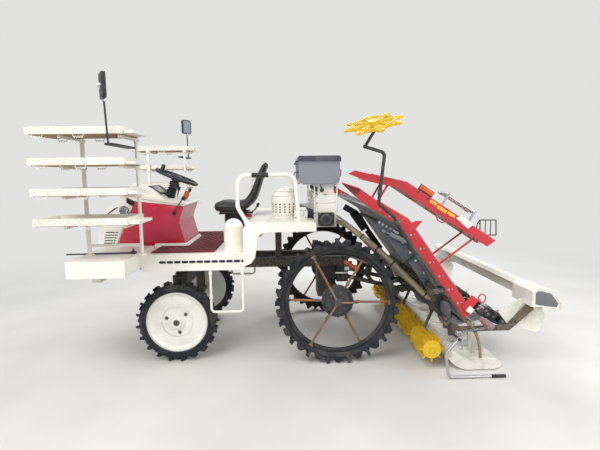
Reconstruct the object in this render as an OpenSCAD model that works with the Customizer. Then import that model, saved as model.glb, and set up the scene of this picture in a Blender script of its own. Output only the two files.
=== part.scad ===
// Riding rice transplanter with six planting rows, seedling racks and a granule spreader.
// X runs to the rear, Y to the machine's right, Z up. The origin is on the floor under
// the middle of the whole machine.

/* [Wheels] */
// Distance between the axles
wheelbase = 1225; // [1150:5:1300]
// Place of the rear axle along the machine
rear_axle_x = 220; // [200:5:240]
// Radius of a front wheel, to the lug tips
front_r = 310; // [290:5:325]
// Width of a front wheel
front_w = 100; // [80:5:110]
// Middle of a front wheel from the centre line
front_track_y = 525; // [515:5:560]
// Radius of a rear wheel, to the lug tips
rear_r = 470; // [455:5:475]
// Width of a rear wheel over its lugs
rear_w = 110; // [90:5:120]
// Middle of a rear wheel from the centre line
rear_track_y = 640; // [620:5:660]
// Height of the rubber lugs on the rear wheels
rear_lug_h = 34; // [25:1:40]
// Lugs around each side of a rear wheel
rear_lugs = 18; // [16:1:20]
// Depth of a front tyre, from the rim to the lug tips
front_sidewall = 78; // [70:1:90]
// Height of the tread lugs on the front wheels
front_lug_h = 22; // [15:1:26]
// Tread lugs around a front wheel
front_lugs = 20; // [16:1:24]
// Full steering angle of a front wheel
steer_max = 40; // [30:1:42]

/* [Platform] */
// Height of the floor that the rider steps on
floor_z = 850; // [840:5:870]
// Depth of the floor moulding
floor_t = 125; // [110:5:130]
// Half of the width of the floor
floor_half_w = 640; // [620:5:660]
// Front end of the floor
floor_x0 = -1225; // [-1235:5:-1215]
// Rear end of the low floor
floor_x1 = -470; // [-480:5:-460]
// Height of the rear deck around the seat
deck_z = 1080; // [1070:5:1100]
// Thickness of the rear deck moulding
deck_t = 70; // [60:5:80]
// Rear end of the deck
deck_x1 = 60; // [40:5:80]

/* [Bonnet] */
// Front end of the bonnet
nose_x = -1735; // [-1740:5:-1720]
// Thickness of the bonnet and the console panels
shell_t = 6; // [4:1:8]
// Half of the width of the console at the floor
console_half_w = 280; // [260:5:300]

/* [Racks] */
// Middle of a seedling rack from the centre line
rack_y = 900; // [890:5:910]
// Length of a rack shelf
shelf_l = 650; // [640:5:660]
// Width of a rack shelf
shelf_w = 320; // [300:5:330]
// Height of a shelf's edge
shelf_h = 42; // [36:1:48]
// Step between the shelves
shelf_step = 189; // [180:1:195]
// Height of the lowest shelf's top
shelf_z = 1160; // [1150:5:1170]
// Front end of the shelves
shelf_x = -1740; // [-1745:5:-1735]

/* [Spreader] */
// Half of the length of the hopper, across the machine
hopper_half_w = 520; // [500:5:540]
// Height of the hopper's top edge
hopper_z = 1560; // [1550:5:1570]

/* [Planting section] */
// Distance between planting rows
row_pitch = 300; // [295:1:300]
// Middle of the rotary planting arms, along the machine
rotary_x = 1370; // [1360:5:1380]
// Height of the rotary arms' axis
rotary_z = 350; // [340:5:360]
// Sweep radius of the planting claws
claw_r = 190; // [170:5:195]
// How far the stage slides to each side
stage_travel = 120; // [80:5:125]
// Height of the stage's side rails
rail_h = 72; // [65:1:73]
// Place of the stage's side rails from the centre line
rail_y = 860; // [855:1:864]
// Radius of the levelling rotor
leveller_r = 92; // [80:1:95]
// Length of the lower lift links
link_l = 517; // [510:1:520]
// Radius of a line marker's wheel
star_r = 195; // [180:5:200]

/* [Hidden] */
$fn = 48;
SIDES = [-1, 1];
GAP = 0.3;

front_axle_x = rear_axle_x - wheelbase;
cream = "#efe9da";
red = "#c62032";
black = "#23262a";

// Places of the chassis.
rail_w = 60;
chassis_z = floor_z - floor_t - 80 - GAP;
chassis_half_w = 150;
kingpin_y = front_track_y - front_w / 2 - 75;
hub_gap = 8;

// Stations of the stage's side rail: x, z of its top edge.
STAGE_LINE = [[465, 1236], [684, 1104], [1153, 432]];
// Stations of the stowed side stage, which lies over the main stage.
SIDE_LINE = [[470, 1415], [732, 1352], [1410, 905]];

// Lift links: the pivots on the chassis, and the angle at rest.
link_x = 330;
link_z = 560;
link_a = -14.6;
link_end_x = link_x + link_l * cos(link_a);
link_end_z = link_z + link_l * sin(link_a);
top_link_dz = 150;
link_y = 190;
pin_r = 10;

// A plate across the machine, from a side view outline.
module side_plate(y0, y1, points) {
    translate([0, y1, 0])
        rotate([90, 0, 0])
            linear_extrude(y1 - y0)
                polygon(points);
}

// A round bar between two points.
module bar(a, b, r) {
    d = b - a;
    l = norm(d);
    translate(a)
        rotate([0, acos(d[2] / l), atan2(d[1], d[0])])
            cylinder(h = l, r = r, $fn = 20);
}

// A bent round tube in a plane across Y, through corners given as x, z, with a bend radius.
// The bends are a little fuller than the straights.
module tube_path(y, corners, r, bend) {
    last = len(corners) - 1;
    turns = [for (i = [0:last]) i == 0 || i == last ? 0 :
        turn(corners[i] - corners[i - 1], corners[i + 1] - corners[i])];
    cuts = [for (a = turns) bend * tan(abs(a) / 2)];
    translate([0, y, 0]) rotate([90, 0, 0]) {
        for (i = [0:last - 1]) {
            run = corners[i + 1] - corners[i];
            heading = atan2(run[1], run[0]);
            start = corners[i] + unit(run) * (cuts[i] - (i > 0 ? 1 : 0));
            translate([start[0], start[1], 0])
                rotate([0, 0, heading])
                    rotate([0, 90, 0])
                        cylinder(h = norm(run) - cuts[i] - cuts[i + 1] + (i > 0 ? 1 : 0) + (i < last - 1 ? 1 : 0),
                            r = r, $fn = 24);
        }
        for (i = [1:last - 1]) {
            back = unit(corners[i - 1] - corners[i]);
            side = turns[i] > 0 ? 1 : -1;
            centre = corners[i] + back * cuts[i] + side * bend * [back[1], -back[0]];
            from = atan2(corners[i][1] + back[1] * cuts[i] - centre[1],
                corners[i][0] + back[0] * cuts[i] - centre[0]);
            translate([centre[0], centre[1], 0])
                rotate([0, 0, side > 0 ? from : from + turns[i]])
                    rotate_extrude(angle = abs(turns[i]), $fn = 48)
                        translate([bend, 0])
                            circle(r = r + 0.4, $fn = 24);
        }
    }
}
function unit(v) = v / norm(v);
function turn(u, v) = atan2(u[0] * v[1] - u[1] * v[0], u[0] * v[0] + u[1] * v[1]);

// Points along an arc in a side view.
function arc(x, z, r, from, to, steps = 6) = [for (i = [0:steps])
    [x + r * cos(from + (to - from) * i / steps), z + r * sin(from + (to - from) * i / steps)]];

// A round tube of straight sides swept along points in space.
module sweep(points, r, sides) {
    n = len(points);
    rings = [for (i = [0:n - 1])
        let (d = unit(points[min(i + 1, n - 1)] - points[max(i - 1, 0)]))
        let (u = unit(cross(d, [0, 1, 0])))
        let (v = cross(d, u))
        for (k = [0:sides - 1]) points[i] + r * (cos(360 * k / sides) * u + sin(360 * k / sides) * v)];
    walls = [for (i = [0:n - 2]) for (k = [0:sides - 1])
        [i * sides + k, i * sides + (k + 1) % sides, (i + 1) * sides + (k + 1) % sides, (i + 1) * sides + k]];
    ends = [[for (k = [sides - 1:-1:0]) k], [for (k = [0:sides - 1]) (n - 1) * sides + k]];
    polyhedron(points = rings, faces = concat(walls, ends));
}

// A cylinder along Y.
module y_cyl(x, z, y0, y1, r) {
    translate([x, y1, z]) rotate([90, 0, 0]) cylinder(h = y1 - y0, r = r);
}

module box(x0, x1, y0, y1, z0, z1) {
    translate([x0, y0, z0]) cube([x1 - x0, y1 - y0, z1 - z0]);
}

// Two mirrored copies, left and right.
module both() {
    children();
    mirror([0, 1, 0]) children();
}

// Chassis. The tow tongue's hole: x, radius.
TOW = [-1720, 11];
module frame() {
    color(black) difference() {
        union() {
            for (s = SIDES)
                box(-1690, link_x + 40, s * chassis_half_w - rail_w / 2, s * chassis_half_w + rail_w / 2,
                    chassis_z, chassis_z + 80);
            for (x = [-1690, -1140, -700, -260])
                box(x, x + 60, -chassis_half_w, chassis_half_w, chassis_z, chassis_z + 80);
            for (s = SIDES)
                box(-250, -200, s * chassis_half_w - 20, s * chassis_half_w + 20, chassis_z + 79, deck_z - shell_t - GAP);
            box(TOW[0] - 20, -1689, -40, 40, chassis_z, chassis_z + 12);
            box(link_x - 60, link_x + 40, -link_y + 25, link_y - 25, link_z - 60, chassis_z + 10);
            y_cyl(link_x, link_z, -link_y - 28, link_y + 28, pin_r);
            for (s = SIDES) {
                side_plate(s * 106 - 6, s * 106 + 6, concat([[-1690, chassis_z + 40], [-1640, chassis_z + 40],
                    [-1690, BONNET_PIN[1] + 12]], arc(BONNET_PIN[0], BONNET_PIN[1], 12, 90, 270),
                    [[-1690, BONNET_PIN[1] - 40]]));
                y_cyl(BONNET_PIN[0], BONNET_PIN[1], s * 122 - 14, s * 122 + 14, 8);
            }
            for (s = SIDES)
                side_plate(RAM_Y + s * 44 - 5, RAM_Y + s * 44 + 5, [[RAM_BASE[0] - 40, chassis_z + 40],
                    [RAM_BASE[0] + 75, chassis_z + 40], [RAM_BASE[0] + 25, RAM_BASE[1] + 22],
                    [RAM_BASE[0] - 25, RAM_BASE[1] + 22]]);
            y_cyl(RAM_BASE[0], RAM_BASE[1], RAM_Y - 48, RAM_Y + 48, pin_r);
            box(RAM_BASE[0] - 60, RAM_BASE[0] + 90, -chassis_half_w, chassis_half_w, chassis_z + 20, chassis_z + 60);
        }
        translate([TOW[0], 0, chassis_z - 1]) cylinder(h = 20, r = TOW[1]);
    }
}

// Bracket on the rear cross block that holds the top link.
module top_link_bracket() {
    z0 = chassis_z + 10 + GAP;
    z1 = link_z + top_link_dz;
    color(black) {
        box(link_x - 60, link_x + 40, -44, 44, z0, z0 + 8);
        for (s = SIDES)
            side_plate(s * 34 - 7, s * 34 + 7, [[link_x - 60, z0 + 7], [link_x + 40, z0 + 7],
                [link_x + 85, z1 - 24], [link_x + 85, z1 + 24], [link_x + 35, z1 + 24]]);
        y_cyl(link_x + 60, z1, -40, 40, pin_r);
    }
}

module front_axle() {
    color(black) {
        box(front_axle_x - 45, front_axle_x + 45, -kingpin_y + 50, kingpin_y - 50, 540, chassis_z - GAP);
        for (s = SIDES)
            translate([front_axle_x, s * kingpin_y, 520]) cylinder(h = 118, r = 58);
    }
}

axle_r = 30;
module rear_axle() {
    inner = rear_track_y - 40 - GAP;
    color(black) {
        y_cyl(rear_axle_x, rear_r, -inner, inner, 48);
        y_cyl(rear_axle_x, rear_r, -rear_track_y - 20, rear_track_y + 20, axle_r);
        box(rear_axle_x - 110, rear_axle_x + 45, -120, 120, rear_r - 110, chassis_z - GAP);
        for (s = SIDES) y_cyl(rear_axle_x, rear_r, s * (inner - 60) - 45, s * (inner - 60) + 45, 85);
    }
}

module engine() {
    color("dimgray") {
        box(-1560, floor_x0 - 15, -chassis_half_w + 40, chassis_half_w - 40, chassis_z + 80 + GAP, 1120);
        for (x = [-1545, floor_x0 - 70])
            box(x, x + 40, -chassis_half_w - 15, chassis_half_w + 15, chassis_z + 80 + GAP, chassis_z + 104);
    }
}

// Floor and deck.
module platform() {
    z0 = floor_z - floor_t;
    color(cream) difference() {
        box(floor_x0, floor_x1, -floor_half_w, floor_half_w, z0, floor_z);
        box(floor_x0 + 20, floor_x1 - 20, -floor_half_w + 20, floor_half_w - 20, z0 - 1, floor_z - 22);
    }
}

module floor_mat() {
    color("#7a2a2e") difference() {
        box(floor_x0 + 60, floor_x1 - 230, -floor_half_w + 60, floor_half_w - 60, floor_z + GAP, floor_z + 10);
        box(floor_x0 + 59, -950, -console_half_w - 10, console_half_w + 10, floor_z - 1, floor_z + 20);
    }
}

// Skirt of the deck, from the floor's rear end round over the wheels.
DECK_LINE = concat([[floor_x1 + GAP, floor_z - floor_t + 40]], arc(floor_x1 + 60 + GAP, deck_z - 60, 60, 180, 90),
    arc(deck_x1 - 20, deck_z - 20, 20, 90, 0, 3), [[deck_x1, deck_z - deck_t]],
    [[floor_x1 + 170, deck_z - deck_t]], arc(floor_x1 + 170, deck_z - deck_t - 70, 70, 90, 180, 5),
    [[floor_x1 + 85, floor_z - 20], [floor_x1 + 55, floor_z - floor_t + 60]]);
module rear_deck() {
    w = floor_half_w + 70;
    color(cream) difference() {
        side_plate(-w, w, DECK_LINE);
        side_plate(-w + shell_t, w - shell_t, concat([[floor_x1 + GAP + shell_t, floor_z - floor_t + 20]],
            arc(floor_x1 + 60 + GAP, deck_z - 60, 60 - shell_t, 180, 90),
            arc(deck_x1 - 20, deck_z - 20, 20 - shell_t, 90, 0, 3),
            [[deck_x1 - shell_t, deck_z - deck_t - 200], [floor_x1 + 200, floor_z - floor_t + 20]]));
    }
    color(cream) for (x = [floor_x1 + 150, deck_x1 - 130])
        box(x, x + 5, -w + 3, w - 3, deck_z - deck_t + 8, deck_z - shell_t + 1);
}

// Domed cowls beside the floor, in front of the rear wheels.
module side_cowls() {
    color(cream) both()
        translate([floor_x1 - 88, -floor_half_w + 130, floor_z + GAP])
            rotate_extrude()
                polygon(concat([[0, 0], [87.9, 0], [87.9, 7], [81, 18], [76, 40]], arc(0, 172, 74, 0, 90, 8)));
}

// Console between the rider's feet and the bonnet.
CONSOLE_LINE = [[-1530, floor_z], [-1470, 1000], [-1380, 1180], [-1366, 1225],
    [-981, 1181], [-1024, 1052], [-981, floor_z + 30], [-975, floor_z]];
module console() {
    color(red) difference() {
        side_plate(-console_half_w, console_half_w, CONSOLE_LINE);
        side_plate(-console_half_w + shell_t, console_half_w - shell_t, [
            [-1600, floor_z - 1], [-1600, 1300], [-1366, 1300], [-1350, 1215],
            [-1000, 1172], [-1036, 1052], [-995, floor_z + 30], [-990, floor_z - 1]]);
        at_steering() translate([0, 0, -300]) cylinder(h = 262, r = column_r + GAP);
    }
}

module console_top() {
    color(cream) difference() {
        union() {
            side_plate(-console_half_w - 4, console_half_w + 4, [
                [-1440, 1262], [-1366, 1225 + GAP], [-981, 1181 + GAP], [-962, 1188], [-960, 1197], [-976, 1206],
                [-1330, 1266], [-1380, 1288], [-1440, 1297]]);
            side_plate(-console_half_w + 78, console_half_w - 78, [
                [-1434, 1290], [-1150, 1230], [-1182, 1256], [-1220, 1291], [-1262, 1322], [-1305, 1342],
                [-1352, 1355], [-1395, 1358], [-1420, 1351], [-1433, 1334]]);
        }
        at_steering() translate([0, 0, -300]) cylinder(h = 262, r = column_r + GAP);
    }
}

steer_x = -1092;
steer_z = 1414;
steer_tilt = 22.4;
column_r = 28;
module at_steering() {
    translate([steer_x, 0, steer_z]) rotate([0, steer_tilt, 0]) children();
}
module steering_column() {
    color(black) at_steering() translate([0, 0, -280]) cylinder(h = 242 - GAP, r = column_r);
}
module steering_wheel() {
    color(black) at_steering() {
        rotate_extrude() translate([175, 0]) circle(r = 13, $fn = 20);
        for (a = [0, 120, 240])
            rotate([0, 0, a]) translate([0, -14, -6]) cube([170, 28, 10]);
        translate([0, 0, -38]) cylinder(h = 46, r = 40);
        translate([-110, -110, 10]) cylinder(h = 50, r = 16);
    }
}

// Bonnet, which tips forward at its lower front edge.
BONNET_PIN = [-1722, 818];
BONNET_LINE = [[nose_x, 830], [nose_x + 2, 900], [nose_x + 7, 960], [nose_x + 22, 1014], [nose_x + 44, 1061],
    [nose_x + 72, 1099], [nose_x + 106, 1138], [nose_x + 147, 1178], [nose_x + 190, 1209], [nose_x + 238, 1237],
    [nose_x + 290, 1257], [-1446, 1210], [-1395, 1180], [-1480, 1000], [-1540, 850], [-1540, 830]];
module bonnet() {
    color(cream) for (s = SIDES) difference() {
        side_plate(s * 124 - 8, s * 124 + 8, [[BONNET_PIN[0] - 12, BONNET_PIN[1] - 14],
            [BONNET_PIN[0] + 14, BONNET_PIN[1] - 14], [BONNET_PIN[0] + 14, 880], [BONNET_PIN[0] - 12, 880]]);
        y_cyl(BONNET_PIN[0], BONNET_PIN[1], s * 124 - 9, s * 124 + 9, 8.05);
    }
    color(cream) difference() {
        intersection() {
            side_plate(-300, 300, BONNET_LINE);
            translate([0, 0, 700]) linear_extrude(700)
                polygon([[nose_x, -150], [nose_x + 90, -235], [-1300, -265], [-1300, 265],
                    [nose_x + 90, 235], [nose_x, 150]]);
        }
        intersection() {
            side_plate(-300, 300, concat([[nose_x + shell_t, 820]],
                [for (i = [1:10]) BONNET_LINE[i] + [4.8, -6.5 + 0.3 * i]], [[-1300, 1252], [-1300, 820]]));
            translate([0, 0, 700]) linear_extrude(700)
                polygon([[nose_x + shell_t, -146], [nose_x + 92, -229], [-1200, -259],
                    [-1200, 259], [nose_x + 92, 229], [nose_x + shell_t, 146]]);
        }
        both() at_lamp() translate([0, 0, -30]) cylinder(h = 70, r = lamp_r + GAP);
        both() for (i = [0:4])
            box(-1658 + 6 * i, -1556 + 8 * i, -300, -200, 878 + 22 * i, 887 + 22 * i);
    }
}

lamp_r = 42;
module at_lamp() {
    translate([-1466, -250, 1143]) rotate([0, -74, 62]) children();
}
module headlamps() {
    color("lightyellow") both() at_lamp() {
        translate([0, 0, -22]) cylinder(h = 34, r = lamp_r);
        translate([0, 0, 11]) cylinder(h = 9, r1 = lamp_r - 2, r2 = lamp_r - 14);
    }
}

// Steps beside the bonnet that carry the racks.
module front_steps() {
    color(cream) both() difference() {
        box(-1610, -1225 - GAP, -960, -310, 755, 867);
        box(-1598, -1237, -948, -322, 754, 855);
    }
    color(black) both()
        box(-1560, -1500, -700, -chassis_half_w - rail_w / 2 - GAP, chassis_z + 20, 755 - GAP);
}

POST_X = [-1552, -1184];
POST_R = [15, 12];
post_y = rack_y - shelf_w / 2 - 18;
module rack_posts() {
    top = shelf_z + 3 * shelf_step - shelf_h - GAP;
    color(cream) both() {
        for (k = [0, 1]) {
            x = POST_X[k];
            translate([x, -post_y, 867 + GAP]) cylinder(h = top - 867 - GAP, r = POST_R[k]);
            translate([x, -post_y, 867 + GAP]) cylinder(h = 8, r = 32);
            for (i = [0:3])
                box(x - 9, x + 9, -rack_y - shelf_w / 2 + 30, -post_y,
                    shelf_z + i * shelf_step - shelf_h - 22, shelf_z + i * shelf_step - shelf_h - GAP);
        }
        box(POST_X[0], POST_X[1], -post_y - 7, -post_y + 7, 930, 950);
    }
}

module shelf() {
    stub = 64;
    difference() {
        box(shelf_x, shelf_x + shelf_l - stub, -rack_y - shelf_w / 2, -rack_y + shelf_w / 2, -shelf_h, 0);
        box(shelf_x + 12, shelf_x + shelf_l - stub - 8, -rack_y - shelf_w / 2 + 8, -rack_y + shelf_w / 2 - 8,
            -shelf_h + 6, 1);
    }
    box(shelf_x + shelf_l - stub - 1, shelf_x + shelf_l, -rack_y - shelf_w / 2 + 22, -rack_y + shelf_w / 2 - 22,
        -shelf_h + 4, -shelf_h + 20);
}
module rack_shelves() {
    color(cream) both()
        for (i = [0:3]) translate([0, 0, shelf_z + i * shelf_step]) shelf();
}

mirror_y = rack_y + shelf_w / 2 + 44;
module mirrors() {
    x = POST_X[1] - 40;
    z = shelf_z + 3 * shelf_step - shelf_h - 60;
    color(black) both() {
        bar([x, -mirror_y, z - 5], [x - 10, -mirror_y, 1900], 6);
        box(x - 20, POST_X[1] - POST_R[1] - GAP, -mirror_y - 8, -post_y + 8, z - 14, z);
        translate([x - 12, -mirror_y, 1960]) rotate([90, 0, -60]) difference() {
            linear_extrude(22, center = true) polygon(concat(arc(45, 55, 20, 0, 90, 3), arc(-45, 55, 20, 90, 180, 3),
                arc(-45, -55, 20, 180, 270, 3), arc(45, -55, 20, 270, 360, 3)));
            translate([0, 0, -13]) linear_extrude(5) square([112, 132], center = true);
        }
    }
}

// Seat, from its front edge under the base, up the back and down again.
SEAT_LINE = [[-765, 1175], [-758, 1140], [-735, 1121], [-700, 1113], [-558, 1112], [-505, 1128], [-465, 1160],
    [-432, 1204], [-404, 1262], [-378, 1338], [-345, 1432], [-310, 1512], [-306, 1530], [-320, 1541],
    [-338, 1538], [-364, 1496], [-392, 1410], [-420, 1322], [-448, 1258], [-478, 1218], [-515, 1203],
    [-573, 1199], [-660, 1207], [-735, 1212], [-757, 1200]];
module seat() {
    color(black) intersection() {
        side_plate(-230, 230, SEAT_LINE);
        rotate([90, 0, 90]) translate([0, 0, -800]) linear_extrude(600)
            polygon([[-190, 1105], [190, 1105], [222, 1135], [222, 1290], [205, 1400], [176, 1490], [138, 1545],
                [-138, 1545], [-176, 1490], [-205, 1400], [-222, 1290], [-222, 1135]]);
    }
}
module seat_base() {
    color(black) {
        box(-720, -480, -150, 150, 1096, 1112 - GAP);
        translate([-600, 0, floor_z + GAP]) cylinder(h = 1096 - floor_z, r = 90);
    }
}

rail_r = 15;
HANDRAIL = [[floor_x1 + 30.6, deck_z - 7.5], [-506, 1190], [-500, 1420], [-90, 1420], [-62, deck_z + 2]];
module handrails() {
    color(cream) both() {
        tube_path(-floor_half_w - 20, HANDRAIL, rail_r, 70);
        for (p = [HANDRAIL[4]])
            translate([p[0], -floor_half_w - 20, deck_z + GAP]) cylinder(h = 6, r = 30);
    }
}

module blower_cover() {
    color(cream) translate([-165, -330, deck_z + GAP]) {
        rotate_extrude()
            polygon(concat([[0, 0], [122, 0], [122, 8], [108, 14]], arc(0, 138, 106, 0, 90, 8)));
        translate([0, 0, 60]) rotate([-90, 0, 0]) cylinder(h = 190, r = 40);
    }
}

hopper_rim = hopper_z - 40;
module hopper() {
    color("slategray") difference() {
        side_plate(-hopper_half_w, hopper_half_w, concat([[-52, hopper_rim]], arc(-14, 1378, 34, 180, 270, 5),
            arc(220, 1378, 34, 270, 360, 5), [[258, hopper_rim]]));
        side_plate(-hopper_half_w + 8, hopper_half_w - 8, concat([[-44, hopper_rim + 1]],
            arc(-14, 1378, 26, 180, 270, 5), arc(220, 1378, 26, 270, 360, 5), [[250, hopper_rim + 1]]));
    }
}
LID_HINGE = [-64, hopper_rim + 2];
module hopper_lid() {
    low = hopper_rim + GAP;
    color("slategray") {
        difference() {
            side_plate(-hopper_half_w - 8, hopper_half_w + 8, concat([[-60, low]],
                arc(-38, hopper_z - 22, 22, 180, 90, 4), arc(244, hopper_z - 22, 22, 90, 0, 4), [[266, low]]));
            side_plate(-hopper_half_w - 1, hopper_half_w + 1, concat([[-52, low - 9]],
                arc(-38, hopper_z - 22, 14, 180, 90, 4), arc(244, hopper_z - 22, 14, 90, 0, 4), [[258, low - 9]]));
        }
        for (y = [-380, 0, 380]) y_cyl(LID_HINGE[0], LID_HINGE[1], y - 40, y + 40, 8);
    }
}

// Metering rollers under the hopper, their funnels, and the plates that hold them behind the deck.
METER_X = 150;
module metering_case() {
    base = deck_z - deck_t;
    color(cream) {
        for (i = [-2.5:2.5]) {
            box(METER_X - 58, METER_X + 66, i * 160 - 58, i * 160 + 58, 1268, 1344 - GAP);
            translate([METER_X, i * 160, 1122]) cylinder(h = 148, r1 = 36, r2 = 54);
        }
        y_cyl(METER_X - 30, 1300, -500, 500, 9);
        box(METER_X - 56, METER_X - 24, -450, 450, 1150, 1180);
        box(-60, DUCT[0] - duct_r - GAP, -70, 70, deck_z + GAP, 1170);
        for (s = SIDES) difference() {
            side_plate(s * 446 - 6, s * 446 + 6, [[deck_x1 + GAP, base], [236, base], [236, 1130], [206, 1290],
                [METER_X - 50, 1290], [METER_X - 70, 1130], [deck_x1 + GAP, 1110]]);
            y_cyl(DUCT[0], DUCT[1], s * 446 - 7, s * 446 + 7, duct_r + GAP);
        }
        box(deck_x1 + GAP, 236, -451, 451, base, base + 10);
        side_plate(-528, -440 - 14, [[-92, deck_z + GAP], [6, deck_z + GAP], [6, 1150], [-8, 1172], [-80, 1172],
            [-92, 1160]]);
    }
}
DUCT = [150, 1075];
duct_r = 42;
module air_duct() {
    color(black) {
        y_cyl(DUCT[0], DUCT[1], -500, 500, duct_r);
        for (s = SIDES) box(DUCT[0] - 60, DUCT[0] + 62, s * 492 - 24, s * 492 + 24, DUCT[1] - 50, DUCT[1] + 52);
        y_cyl(DUCT[0], DUCT[1], -530, -515, duct_r - 4);
    }
}

// Steered front hubs.
stub_r = 22;
module knuckle() {
    color(black) {
        translate([front_axle_x, -kingpin_y, 290]) cylinder(h = 230 - GAP, r = 42);
        y_cyl(front_axle_x, front_r, -front_track_y + 36 + GAP, -kingpin_y, 40);
        y_cyl(front_axle_x, front_r, -front_track_y + 5, -kingpin_y, stub_r);
    }
}

// Front wheel with a closed disc and a lugged tyre, on its own middle.
module front_wheel() {
    rim_r = front_r - front_sidewall;
    tread_r = front_r - front_lug_h;
    half = front_w / 2;
    rotate([90, 0, 0]) {
        color(black) rotate_extrude($fn = 72)
            polygon([[rim_r - 4, -half + 14], [rim_r + 10, -half + 3], [tread_r - 18, -half], [tread_r, -half + 16],
                [tread_r, half - 16], [tread_r - 18, half], [rim_r + 10, half - 3], [rim_r - 4, half - 14]]);
        color(black) intersection() {
            for (i = [0:front_lugs - 1])
                for (s = SIDES)
                    rotate([0, 0, -90 + (i + (s > 0 ? 0.5 : 0)) * 360 / front_lugs])
                        rotate([s * 24, 0, 0])
                            translate([tread_r - 9, -9, s > 0 ? 2 : -half - 3])
                                cube([front_lug_h + 16, 18, half + 1]);
            translate([0, 0, -half + 1]) cylinder(h = front_w - 2, r = front_r, $fn = 96);
        }
        color(cream) difference() {
            union() {
                translate([0, 0, -36]) cylinder(h = 72, r = rim_r);
                translate([0, 0, 30]) cylinder(h = 24, r1 = 52, r2 = 40);
            }
            translate([0, 0, 22]) rotate_extrude() polygon([[58, 0], [rim_r - 34, -4], [rim_r - 12, 15], [58, 15]]);
            translate([0, 0, -37]) cylinder(h = 13, r = rim_r - 22);
            translate([0, 0, -37]) cylinder(h = 44, r = stub_r + 0.05);
        }
    }
}

// Rear wheel: a rim tube on six round spokes, a hub drum, and a rubber ring with splayed paddle lugs.
module rear_wheel() {
    tyre_r = rear_r - rear_lug_h;
    rim_r = tyre_r - 40;
    half = rear_w / 2;
    rotate([90, 0, 0]) {
        color(black) difference() {
            rotate_extrude($fn = 72) polygon([[rim_r, -12], [rim_r + 8, -22], [tyre_r - 8, -27], [tyre_r, -20],
                [tyre_r, 20], [tyre_r - 8, 27], [rim_r + 8, 22], [rim_r, 12]]);
        }
        color(black) intersection() {
            for (i = [0:rear_lugs - 1])
                for (s = SIDES)
                    rotate([0, 0, -90 + (i + (s > 0 ? 0.5 : 0)) * 360 / rear_lugs])
                        rotate([90, 0, 0])
                            linear_extrude(24, center = true)
                                polygon([[tyre_r - 12, s * 3], [rear_r + 3, s * 6], [rear_r + 3, s * half],
                                    [rear_r - 10, s * half], [tyre_r - 12, s * 25]]);
            translate([0, 0, -half - 1]) cylinder(h = rear_w + 2, r = rear_r, $fn = 96);
        }
        color("dimgray") for (i = [0:5])
            rotate([0, 0, 60 * i - 2]) {
                z = i % 2 == 0 ? 9 : -15;
                translate([100, 0, z]) rotate([0, 90, 0]) cylinder(h = rim_r - 94, r = 9);
                translate([rim_r - 14, -17, z - 11]) cube([20, 34, 22]);
            }
        color(black) difference() {
            union() {
                translate([0, 0, -40]) cylinder(h = 58, r = 118);
                translate([0, 0, 17]) cylinder(h = 14, r1 = 104, r2 = 92);
                translate([0, 0, 30]) cylinder(h = 18, r = 42);
            }
            translate([0, 0, -41]) cylinder(h = 62, r = axle_r + 0.05);
        }
    }
}

// Lift links.
LINK_DIR = [cos(link_a), sin(link_a)];
LINK_UP = [-sin(link_a), cos(link_a)];
RAM_Y = 80;
RAM_BASE = [110, 800];
RAM_EYE = [link_x, link_z] + LINK_DIR * link_l / 2 + LINK_UP * 110;
module eye(x, z, y0, y1, r, hole) {
    difference() {
        y_cyl(x, z, y0, y1, r);
        y_cyl(x, z, y0 - 1, y1 + 1, hole);
    }
}
module lower_links() {
    mid = [link_x, link_z] + LINK_DIR * link_l / 2;
    color(black) difference() {
        union() {
            for (s = SIDES) {
                bar([link_x, s * link_y, link_z], [link_end_x, s * link_y, link_end_z], 18);
                for (p = [[link_x, link_z], [link_end_x, link_end_z]])
                    y_cyl(p[0], p[1], s * link_y - 22, s * link_y + 22, 26);
            }
            y_cyl(mid[0], mid[1], -link_y, link_y, 16);
            for (s = SIDES)
                side_plate(RAM_Y + s * 24 - 5, RAM_Y + s * 24 + 5, [mid - LINK_DIR * 30, mid + LINK_DIR * 30,
                    RAM_EYE + LINK_DIR * 18 + LINK_UP * 16, RAM_EYE - LINK_DIR * 18 + LINK_UP * 16]);
            y_cyl(RAM_EYE[0], RAM_EYE[1], RAM_Y - 28, RAM_Y + 28, pin_r);
        }
        for (s = SIDES)
            for (p = [[link_x, link_z], [link_end_x, link_end_z]])
                y_cyl(p[0], p[1], s * link_y - 23, s * link_y + 23, pin_r + 0.05);
    }
}
module top_link() {
    dz = top_link_dz;
    color(black) difference() {
        union() {
            bar([link_x + 60, 0, link_z + dz], [link_end_x + 60, 0, link_end_z + dz], 16);
            for (p = [[link_x + 60, link_z], [link_end_x + 60, link_end_z]])
                y_cyl(p[0], p[1] + dz, -24, 24, 24);
        }
        for (p = [[link_x + 60, link_z], [link_end_x + 60, link_end_z]])
            y_cyl(p[0], p[1] + dz, -25, 25, pin_r + 0.05);
    }
}

// Lift cylinder, and its rod, whose wide eye rides round the pin on the links.
RAM_RUN = RAM_EYE - RAM_BASE;
module at_ram() {
    translate([RAM_BASE[0], RAM_Y, RAM_BASE[1]])
        rotate([0, -atan2(RAM_RUN[1], RAM_RUN[0]), 0])
            rotate([0, 90, 0])
                children();
}
module lift_cylinder() {
    color(black) {
        eye(RAM_BASE[0], RAM_BASE[1], RAM_Y - 30, RAM_Y + 30, 24, pin_r + 0.05);
        at_ram() difference() {
            translate([0, 0, 22]) cylinder(h = 308, r = 32);
            translate([0, 0, 60]) cylinder(h = 300, r = 14.05);
        }
    }
}
module lift_rod() {
    color("silver") {
        at_ram() translate([0, 0, 240]) cylinder(h = norm(RAM_RUN) - 240 - 24, r = 14);
        eye(RAM_EYE[0], RAM_EYE[1], RAM_Y - 12, RAM_Y + 12, 28, pin_r + 9);
    }
}

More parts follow.
